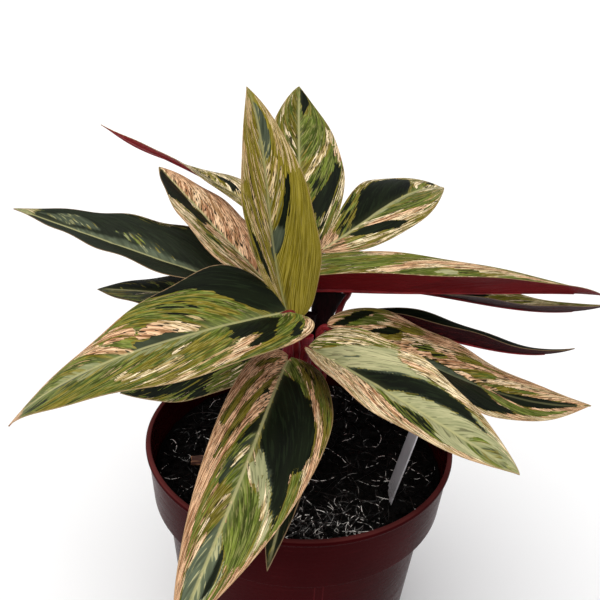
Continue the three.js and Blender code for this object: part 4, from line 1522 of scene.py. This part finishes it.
@dataclass(frozen=True)
class Shoot:
    """A clump of sheathed petioles on a scaly foot.

    Attributes:
        node: the CAD node.
        at: its middle.
        radius: of its foot.
        leaves: the leaves whose sheaths it holds.
    """

    node: str
    at: tuple[float, float]
    radius: float
    leaves: tuple[str, ...]

    def mound(self, seed: int) -> Skin:
        """The foot in the soil: a dome of short lapped scales.

        height = soil + 5 * sin(v) + 0.4 * sin(7 angle + seed) * cos(v)
        radius = R * cos(v) * (1 - 0.1 * (1 - |sin(3.5 angle + 4 v + seed)|))

        Args:
            seed: turns the scales.

        Returns:
            The skin, with the mark "grain".
        """
        sides, rows = 56, 16
        v = np.linspace(-0.5, np.pi / 2 - 0.06, rows)[:, None]
        angle = ring_angles(sides)[None, :]
        wide = self.radius * np.cos(v) * (1 - 0.1 * (1 - np.abs(np.sin(3.5 * angle + 4 * v + seed))))
        z = SOIL_TOP + 5 * np.sin(v) + 0.4 * np.sin(7 * angle + seed) * np.cos(v)
        x, y = self.at[0] + wide * np.cos(angle), self.at[1] + wide * np.sin(angle)
        skin = loft(np.stack([x, y, z], -1))
        skin.marks["grain"] = skin.points - [*self.at, SOIL_TOP]
        return skin


SHOOTS = (
    Shoot(
        "shoot_front", (-3, -3.7), 8.9,
        ("leaf_front_left", "leaf_tall_centre", "leaf_cream_right", "leaf_front_hanging", "leaf_low_left",
         "leaf_small_front"),
    ),
    Shoot(
        "shoot_right", (3.5, 11.5), 6.6,
        ("leaf_folded_right", "leaf_under_right", "leaf_narrow_right", "leaf_pink_right"),
    ),
    Shoot(
        "shoot_left", (-11, 15), 7.4,
        ("leaf_long_left", "leaf_pink_left", "leaf_twisted_left", "leaf_small_left"),
    ),
    Shoot("shoot_back", (2, 27), 5.4, ("leaf_tall_back", "leaf_spoon_right")),
)


@dataclass
class Foliage:
    """All leaves: blades, petioles, the sheaths of each shoot and the broad sheaths.

    Attributes:
        leaves: each leaf's shape and markings.
        shoots: the clumps that hold the leaves' sheaths.
    """

    leaves: tuple[Leaf, ...] = LEAVES
    shoots: tuple[Shoot, ...] = SHOOTS

    def build(self) -> None:
        """Builds and dresses every piece of the foliage."""
        upper, under = BladeFinish().material(), UndersideFinish().material()
        stem = StemFinish("petiole_skin", "540d14", "93292c").material()
        sheath = StemFinish("sheath_skin", "4a0c15", "8a1c28", 0.42).material()
        # The empty and inner sheaths get a near-black skin: painted shade, since they stand deep in shade
        # among the other sheaths.
        painted_shade_skin = StemFinish("cowl_painted_shade", "0b0405", "1b080a", 0.45, 0.03).material()
        blades = {leaf.node: Blade(leaf, i) for i, leaf in enumerate(self.leaves)}
        for name, blade in blades.items():
            made = blade.skin().piece(name.replace("leaf", "blade"), "leaf", [upper, under])
            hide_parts(name)
            blade.petiole().piece(name.replace("leaf", "petiole"), "leaf", [stem])
        for i, shoot in enumerate(self.shoots):
            skins = [shoot.mound(i)] + [blades[leaf].sheath() for leaf in shoot.leaves]
            made = Skin.joined(skins).piece(shoot.node.replace("shoot", "sheaths"), "sheath", [sheath])
            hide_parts(shoot.node)
        cowls = (
            ("empty_sheath", Cowl((3, 11), (1, 12, 34), (9, 22, 53)), painted_shade_skin),
            ("inner_sheath", Cowl((-3, 8), (-4, 10, 22), (-1, 12, 47), 3.0, 5.0, 1.5, 0.4), painted_shade_skin),
            ("front_sheath", Cowl((-3, -3), (-3, -1, 17), (-2.6, 1, 43), 4.4, 5.6, 1.0, 0.5), sheath),
        )
        for name, cowl, finish in cowls:
            cowl.skin().piece(name, "sheath", [finish])


# ---- pot, soil and tag


@dataclass
class Pot:
    """The nursery pot: lip, collar band, step and tapered body.

    Attributes:
        sides: of the turned shell.
        holes: number, radius and circle of the drain holes.
    """

    sides: int = 192
    holes: tuple[int, float, float] = (8, 4.0, 31.0)

    def profile(self) -> np.ndarray:
        """The wall from the middle of the underside, up the outside, over the lip and down to the floor."""
        return rounded(
            [
                (0, 0, 0), (41.5, 0, 0.8), (46.5, 2.2, 1.6), (52.75, 73.4, 0.5), (57.55, 75.0, 0.5),
                (59.1, 95.4, 0.4), (60.0, 96.4, 0.35), (60.0, 97.5, 0.5), (59.4, 98.0, 0.4),
                (58.1, 98.0, 0.4), (57.8, 97.0, 0.5), (56.3, 76.4, 0.6), (51.5, 75.0, 0.6),
                (45.6, 4.0, 1.6), (42.0, 1.8, 1.0), (0, 1.8, 0),
            ]
        )

    def build(self) -> None:
        """Turns the shell, cuts the drain holes and dresses it."""
        made = lathe(self.profile(), self.sides).piece("nursery_pot", "pot_plastic", [self.finish()], 35.0)
        count, radius, circle = self.holes
        drill = lathe(np.array([[0, -3.0], [radius, -3.0], [radius, 6.0], [0, 6.0]]), 32)
        angles = 2 * np.pi * (np.arange(count) + 0.5) / count
        drills = [
            Skin(drill.points + [circle * math.cos(a), circle * math.sin(a), 0], drill.faces) for a in angles
        ]
        cutter = Skin.joined(drills).piece("drain_cutter", "pot_plastic", [])
        cut = made.modifiers.new("drain", "BOOLEAN")
        cut.object, cut.operation, cut.solver = cutter, "DIFFERENCE", "EXACT"
        bpy.context.view_layer.update()
        carved = bpy.data.meshes.new_from_object(made.evaluated_get(bpy.context.evaluated_depsgraph_get()))
        made.modifiers.clear()
        made.data = carved
        bpy.data.objects.remove(cutter)
        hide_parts("pot")
        log.info("%s: %d faces once drilled", made.name, len(carved.polygons))

    def finish(self) -> Material:
        """Glossy dark maroon plastic with faint flow streaks, scuffs, mould lines and a painted highlight
        round the top of the lip.

        Returns:
            The material.
        """
        paint = Paint("pot_plastic")
        place = paint.place()
        x, y, z = paint.split(place)
        cloud = paint.noise(place, 28.0)
        speck = paint.noise(place, 900.0, 1.0)
        scuff = paint.noise(paint.stretched(place, (60.0, 60.0, 700.0)), 1.0, 3.0)
        seam = abs(x - 0.0085).rise(0.0003, 0.0001) + abs(x - 0.0115).rise(0.0003, 0.0001)
        seam = seam * y.rise(-0.02, -0.03) * z.rise(0.0745, 0.0735)
        colour = paint.coat(
            paint.mix(cloud, "2a0406", "340609"),
            (scuff.rise(0.8, 1.0) * 0.15, "4a1216"),
            (seam * 0.35, "5a1a1e"),
            # Painted highlight: a lighter pinkish ring over the top of the lip, standing in for light caught
            # there.
            (z.rise(0.0975, 0.0979) * (0.12 + cloud * 0.25), "8c4d4a"),
        )
        paint.relief(seam * 0.6 + speck * 0.05 + cloud * 0.2, 0.0002, 0.35)
        rough = 0.2 + scuff * 0.1 + speck * 0.05
        tint = (1.0, 0.3, 0.3, 1.0)
        return paint.shade(Base_Color=colour, Roughness=rough, Specular_IOR_Level=0.012, Specular_Tint=tint)


@dataclass
class Soil:
    """The potting mix: a crumbly bed, loose crumbs, fibres with painted white glints, and a chip of bark.

    Attributes:
        radius: of its top.
        crumbs: how many lumps lie on it.
        fibres: how many fibres lie on it.
        seed: of its random draws.
    """

    radius: float = 56.3
    crumbs: int = 2600
    fibres: int = 1050
    seed: int = 11

    def height(self, x: np.ndarray, y: np.ndarray) -> np.ndarray:
        """The bed's top: soil + 1.4 * (1 - (r / R)^2) - 0.3 plus three sizes of noise.

        Args:
            x: places in millimetres.
            y: the same.

        Returns:
            Heights in millimetres.
        """
        top = SOIL_TOP + 1.4 * (1 - (x**2 + y**2) / self.radius**2) - 0.3
        for seed, (height, size, shift) in enumerate(((0.9, 7, 20), (0.6, 2.6, 20), (0.25, 1.1, 60)), 1):
            top = top + height * value_noise(x / size + shift, y / size + shift, seed)
        return top

    def bed(self) -> Skin:
        """The closed body: rings up the pot's wall and in over the top.

        Returns:
            The skin, without marks.
        """
        sides, rows = 180, 70
        wall = np.array([(41, 2.4), (43.8, 4.6), (50.9, 75.0), (54.9, 77.2), (56.0, 83.0)])
        radii = np.concatenate([wall[:, 0], self.radius * np.linspace(1, 0.012, rows)])[:, None]
        x, y = radii * np.cos(ring_angles(sides)), radii * np.sin(ring_angles(sides))
        low = len(wall)
        z = np.concatenate([np.broadcast_to(wall[:, 1:], (low, sides)), self.height(x[low:], y[low:])])
        top = self.height(np.zeros(1), np.zeros(1))[0]
        return loft(np.stack([x, y, z], -1), np.array([[0, 0, wall[0, 1]], [0, 0, top]]))

    def spread(self, rng: np.random.Generator, count: int, within: float) -> tuple[np.ndarray, np.ndarray]:
        """Random places over the soil, evenly by area: distance = within * sqrt(u).

        Args:
            rng: the random draws.
            count: how many places.
            within: the greatest distance from the middle.

        Returns:
            Their x and y.
        """
        r, a = within * np.sqrt(rng.uniform(0, 1, count)), rng.uniform(0, 2 * np.pi, count)
        return r * np.cos(a), r * np.sin(a)

    def lumps(self, rng: np.random.Generator) -> Skin:
        """Crumbs: twelve-cornered lumps, each with its own size, stretch, turn and dents.

        A lump is an icosahedron: corners (+-1, +-golden, 0) and the same shifted round the axes, and a
        face for every three corners that are neighbours.

        Args:
            rng: the random draws.

        Returns:
            The skin, with the mark "shade".
        """
        gold = (1 + 5**0.5) / 2
        corners = np.array([(a, b * gold, 0) for a in (-1, 1) for b in (-1, 1)], float)
        corners = np.concatenate([corners, np.roll(corners, 1, axis=1), np.roll(corners, 2, axis=1)]) / 1.9
        gaps = np.linalg.norm(corners[:, None] - corners[None], axis=-1)
        near = (gaps > 0.1) & (gaps < 1.3)
        faces = np.array(
            [(i, j, k) for i in range(12) for j in range(i + 1, 12) for k in range(j + 1, 12)
             if near[i, j] and near[j, k] and near[i, k]]
        )
        a, b, c = (corners[faces[:, k]] for k in range(3))
        inward = (np.cross(b - a, c - a) * (a + b + c)).sum(-1) < 0
        faces[inward] = faces[inward][:, ::-1]
        x, y = self.spread(rng, self.crumbs, self.radius - 1.2)
        size = rng.lognormal(-0.35, 0.42, (self.crumbs, 1, 1)).clip(0.3, 2.2)
        stretch = rng.uniform(0.55, 1.25, (self.crumbs, 1, 3))
        dents = rng.uniform(0.75, 1.15, (self.crumbs, 12, 1))
        axes = np.linalg.qr(rng.normal(size=(self.crumbs, 3, 3)))[0]
        axes *= np.linalg.det(axes)[:, None, None]
        points = (corners[None] * dents * size * stretch) @ axes
        z = self.height(x, y) + 0.25 * size[:, 0, 0]
        points = points + np.stack([x, y, z], -1)[:, None]
        index = (faces[None] + 12 * np.arange(self.crumbs)[:, None, None]).reshape(-1, 3)
        shade = np.repeat(rng.uniform(0, 1, self.crumbs), 12)[:, None]
        return Skin(points.reshape(-1, 3), [index], marks={"shade": np.tile(shade, (1, 3))})

    def threads(self, rng: np.random.Generator) -> Skin:
        """Fibres: three-sided curved threads.

        middle(t) = place + length * (t * way + bend * t^2 * side) for t from -1/2 to 1/2, held just
        above the bed; radius = r * (1 - 0.6 * (2 t)^4). A quarter of them lie in a heap at the front.

        Args:
            rng: the random draws.

        Returns:
            The skin, with the mark "shade".
        """
        n, rows = self.fibres, 7
        x, y = self.spread(rng, n, self.radius - 3.0)
        front = rng.uniform(0, 1, n) < 0.26
        x = np.where(front, np.clip(rng.normal(10, 13, n), -20, 38), x)
        y = np.where(front, np.clip(rng.normal(-38, 7, n), -50, -20), y)
        way = rng.uniform(0, 2 * np.pi, n)[:, None]
        length = rng.lognormal(1.85, 0.5, n).clip(2.5, 18)[:, None]
        shade = rng.uniform(0, 1, n)
        bend = rng.normal(0, 0.6, n)[:, None]
        t = np.linspace(-0.5, 0.5, rows)[None, :]
        px = x[:, None] + length * (t * np.cos(way) - bend * t**2 * np.sin(way))
        py = y[:, None] + length * (t * np.sin(way) + bend * t**2 * np.cos(way))
        out = np.maximum(np.hypot(px, py) / (self.radius - 1.5), 1)
        px, py = px / out, py / out
        lift = rng.uniform(0.25, 1.3, n)[:, None] + rng.normal(0, 1.0, n)[:, None] * t
        pz = self.height(px, py) + np.maximum(lift, 0.12)
        path = np.stack([px, py, pz], -1)
        along = unit(np.gradient(path, axis=1))
        side = unit(np.cross(along, [0, 0, 1.0]))
        back = np.cross(along, side)
        # The palest threads, which take the painted glints, are a little thicker.
        thick = (rng.uniform(0.07, 0.12, n) + 0.03 * (shade > 0.75))[:, None] * (1 - 0.6 * (2 * t) ** 4)
        angle = np.array([0, 2, 4]) * np.pi / 3
        rings = path[:, :, None] + thick[..., None, None] * (
            np.cos(angle)[:, None] * side[:, :, None] + np.sin(angle)[:, None] * back[:, :, None]
        )
        at = np.arange(rows * 3).reshape(rows, 3)
        turned = np.roll(at, -1, axis=1)
        quads = np.stack([at[:-1], turned[:-1], turned[1:], at[1:]], -1).reshape(-1, 4)
        ends = np.array([[0, 2, 1], [3 * rows - 3, 3 * rows - 2, 3 * rows - 1]])
        start = 3 * rows * np.arange(n)[:, None, None]
        shade = np.repeat(shade, 3 * rows)[:, None]
        faces = [(quads[None] + start).reshape(-1, 4), (ends[None] + start).reshape(-1, 3)]
        return Skin(rings.reshape(-1, 3), faces, marks={"shade": np.tile(shade, (1, 3))})

    def chip(self) -> Skin:
        """The chip of bark: a short slab with rounded long edges, split along its grain.

        ring = (2.1 * cos^0.6, 1.1 * sin^0.6) * (1 + 0.13 * noise), set along a line 6.6 mm long.

        Returns:
            The skin, without marks.
        """
        sides, rows = 40, 24
        angle = ring_angles(sides)
        t = np.linspace(-1, 1, rows)[:, None]
        rough = 1 + 0.13 * value_noise(angle * 3.2 + 0 * t, t * 0.8 + 5, 8)
        y = 2.1 * np.sign(np.cos(angle)) * np.abs(np.cos(angle)) ** 0.6 * rough
        z = 1.1 * np.sign(np.sin(angle)) * np.abs(np.sin(angle)) ** 0.6 * rough
        x = 3.3 * t + 0.35 * value_noise(angle * 4 + 0 * t, 0 * t + 3, 9) * np.abs(t) ** 3
        return loft(np.stack([x, y, z], -1) @ turning(8, 0, 1).T + [-38.5, -8.5, SOIL_TOP + 2.4])

    def earth(self, name: str, pale: float) -> Material:
        """Damp dark peat.

        Args:
            name: the material's name.
            pale: how much lighter brown shows in it.

        Returns:
            The material.
        """
        paint = Paint(name)
        place = paint.place()
        coarse = paint.noise(place, 420.0, 3.0)
        fine = paint.noise(place, 2600.0, 2.0)
        colour = paint.coat(paint.mix(coarse, "040404", "0c0a09"), (fine.rise(0.7, 1.0) * pale, "241a15"))
        paint.relief(coarse * 0.6 + fine * 0.4, 0.0006, 0.8)
        return paint.shade(Base_Color=colour, Roughness=0.4 + fine * 0.35, Specular_IOR_Level=0.06)

    def fibre_skin(self) -> Material:
        """Glossy coir, dark brown to grey-brown by each thread's own tone, with painted white glints in
        patches along the palest threads.

        Returns:
            The material.
        """
        paint = Paint("coir_fibre_painted_glints")
        shade, _, _ = paint.split(paint.mark("shade").outputs["Vector"])
        patchy = paint.noise(paint.place(), 500.0, 1.0)
        # Painted glints: white patches along the palest threads stand in for light glinting off the glossy
        # fibres.
        bright = shade.rise(0.72, 0.84) * patchy.rise(0.44, 0.6)
        colour = paint.coat(paint.mix(shade.rise(0.35, 0.85), "080706", "2c2623"), (bright, "fdfaf5"))
        return paint.shade(Base_Color=colour, Roughness=0.25 + patchy * 0.15, Specular_IOR_Level=0.5)

    def bark(self) -> Material:
        """Copper-brown bark in pale stripes along its grain.

        Returns:
            The material.
        """
        paint = Paint("bark_chip")
        place = paint.place()
        stripe = paint.noise(paint.stretched(place, (90.0, 1100.0, 1100.0)), 1.0, 2.0)
        colour = paint.mix(stripe.rise(0.3, 0.8), "4a2415", "c08a62")
        paint.relief(stripe, 0.0005, 0.8)
        return paint.shade(Base_Color=colour, Roughness=0.55 + stripe * 0.2)

    def build(self) -> None:
        """Builds and dresses the soil."""
        rng = np.random.default_rng(self.seed)
        bed = self.bed().piece("soil_bed", "potting_soil", [self.earth("peat_bed", 0.25)], 80.0)
        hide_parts("soil")
        self.lumps(rng).piece("soil_crumbs", "potting_soil", [self.earth("peat_crumb", 0.5)], 60.0)
        self.threads(rng).piece("soil_fibres", "potting_soil", [self.fibre_skin()], 60.0)
        self.chip().piece("bark_chip", "potting_soil", [self.bark()])


@dataclass
class Tag:
    """The blank plant tag that stands in the soil.

    Attributes:
        width, length, thickness: of the strip.
        buried: how much of it is in the soil.
        point: the length of its pointed end.
        corner: the radius of its top corners.
        at: where it enters the soil.
        lean, turn: degrees that it leans back and faces.
    """

    width: float = 11.0
    length: float = 80.0
    thickness: float = 0.8
    buried: float = 42.0
    point: float = 10.0
    corner: float = 1.6
    at: tuple[float, float] = (35.5, -19.5)
    lean: float = 11.0
    turn: float = 90.0

    def build(self) -> None:
        """Lofts the strip with rounded edges.

        Rings up the strip: half width = width / 2, drawn to the point below and rounded at the top
        corners; each ring is a flat oval |x / a|^8 + |y / b|^4 = 1.
        """
        z = np.concatenate([
            np.linspace(0.05, 1, 20) * self.point,
            np.linspace(self.point + 2, self.length - 3, 30),
            self.length - self.corner * (1 - np.sin(np.linspace(0, np.pi / 2, 8))),
        ])
        past = np.clip((z - self.length + self.corner) / self.corner, 0, 1)
        half = self.width / 2 * np.minimum(1, z / self.point)
        half = half - self.corner * (1 - np.sqrt(1 - past**2 * 0.999))
        c, s = np.cos(ring_angles(48)), np.sin(ring_angles(48))
        x = half[:, None] * np.sign(c) * np.abs(c) ** 0.25
        deep = self.thickness / 2 * np.minimum(1, 0.3 + z / self.point)
        y = deep[:, None] * np.sign(s) * np.abs(s) ** 0.5
        rings = np.stack([x, y, np.broadcast_to(z[:, None], x.shape) - self.buried], -1)
        turn = turning(self.turn, 0, 1) @ turning(self.lean, 1, 2)
        skin = loft(rings @ turn.T + [*self.at, SOIL_TOP])
        made = skin.piece("tag_strip", "tag_plastic", [self.finish()], 60.0)
        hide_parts("plant_tag")

    def finish(self) -> Material:
        """Plain pale grey plastic, a little dusty near the soil.

        Returns:
            The material.
        """
        paint = Paint("tag_plastic")
        place = paint.place()
        cloud = paint.noise(place, 90.0, 2.0)
        fine = paint.noise(place, 1500.0, 2.0)
        _, _, z = paint.split(place)
        dirt = z.rise(0.098, 0.086) * fine.rise(0.4, 0.8)
        colour = paint.coat(paint.mix(cloud, "b4b3b8", "c6c5ca"), (dirt * 0.6, "4a4038"))
        paint.relief(fine, 0.00008, 0.5)
        return paint.shade(Base_Color=colour, Roughness=0.35 + fine * 0.15)


# ---- camera, floor and light


@dataclass
class Studio:
    """The camera, the pale floor and the soft light.

    Attributes:
        distance: of the camera from the middle of the pot's rim.
        elevation: degrees above the rim.
        focal: in pixels of the frame.
        frame_size: pixels a side.
        centre: the pixel on which the middle of the rim falls.
        roll: degrees about the line of sight.
    """

    distance: float = 300.0
    elevation: float = 36.6
    focal: float = 745.0
    frame_size: float = 600.0
    centre: tuple[float, float] = (299.8, 431.2)
    roll: float = 3.4

    def axes(self) -> np.ndarray:
        """The camera's right, down and forward directions as rows.

        The straight look at the rim's middle is rolled, then turned so that the middle falls on its
        pixel: rows = A Z R, with A the least turn of (0, 0, 1) to the pixel's direction.

        Returns:
            A 3 by 3 array.
        """
        e = math.radians(self.elevation)
        forward = np.array([0, math.cos(e), -math.sin(e)])
        right = np.array([1.0, 0, 0])
        plain = np.array([right, -np.cross(right, forward), forward])
        off = (np.array(self.centre) - self.frame_size / 2) / self.focal
        aim = unit(np.array([*off, 1.0]))
        v = np.cross([0, 0, 1.0], aim)
        k = np.array([[0, -v[2], v[1]], [v[2], 0, -v[0]], [-v[1], v[0], 0]])
        least = np.eye(3) + k + k @ k / (1 + aim[2])
        return least @ turning(self.roll, 0, 1) @ plain

    def camera(self) -> None:
        """Places the camera."""
        lens = bpy.data.cameras.new("camera")
        lens.sensor_fit = "HORIZONTAL"
        lens.sensor_width = 36.0
        lens.lens = 36.0 * self.focal / self.frame_size
        lens.clip_start = 0.01
        made = bpy.data.objects.new("camera", lens)
        e = math.radians(self.elevation)
        place = np.array([0, -math.cos(e), math.sin(e)]) * self.distance + [0, 0, RIM_TOP]
        rows = self.axes()
        world = np.eye(4)
        world[:3, :3] = np.stack([rows[0], -rows[1], -rows[2]], -1)
        world[:3, 3] = place * METRES
        made.matrix_world = Matrix(world.tolist())
        bpy.context.scene.collection.objects.link(made)
        bpy.context.scene.camera = made

    def floor(self) -> None:
        """A wide pale floor under the pot."""
        corners = np.array([[-1, -1, 0], [1, -1, 0], [1, 1, 0], [-1, 1, 0]]) * 25.0
        mesh = bpy.data.meshes.new("floor")
        mesh.from_pydata((corners + [0, 0, -0.0002]).tolist(), [], [(0, 1, 2, 3)])
        paint = Paint("floor_paint")
        tint = paint.noise(paint.place(), 3.0, 1.0)
        mesh.materials.append(paint.shade(Base_Color=paint.mix(tint, "f3f4f7", "f5f6f8"), Roughness=0.9))
        made = bpy.data.objects.new("floor", mesh)
        bpy.context.scene.collection.objects.link(made)

    def sun(self, toward: tuple[float, float, float], strength: float, spread: float) -> None:
        """A very soft overhead light.

        Args:
            toward: the direction of its middle from the plant.
            strength: in watts a square metre.
            spread: degrees across it.
        """
        lamp = bpy.data.lights.new("soft_sky", "SUN")
        lamp.energy, lamp.angle = strength, math.radians(spread)
        lamp.color = (1.0, 0.98, 0.94)
        made = bpy.data.objects.new("soft_sky", lamp)
        back = unit(np.array(toward, float))
        side = unit(np.cross([0, 1.0, 0], back))
        world = np.eye(4)
        world[:3, :3] = np.stack([side, np.cross(back, side), back], -1)
        world[:3, 3] = back
        made.matrix_world = Matrix(world.tolist())
        bpy.context.scene.collection.objects.link(made)

    def build(self) -> None:
        """Places camera, floor, light and the world's light."""
        self.camera()
        self.floor()
        self.sun((-0.3, -0.35, 1.0), 2.9, 95.0)
        world = bpy.data.worlds.new("studio")
        bpy.context.scene.world = world
        world.use_nodes = True
        back = world.node_tree.nodes["Background"]
        back.inputs[0].default_value = (1.0, 1.0, 1.0, 1.0)
        back.inputs[1].default_value = 0.45
        view = bpy.context.scene.view_settings
        view.view_transform = "Standard"
        view.look = "None"


def main() -> None:
    logging.basicConfig(level=logging.INFO, format="%(name)s %(message)s")
    for part in (Studio(), Pot(), Soil(), Tag(), Foliage()):
        part.build()


if __name__ == "__main__":
    main()
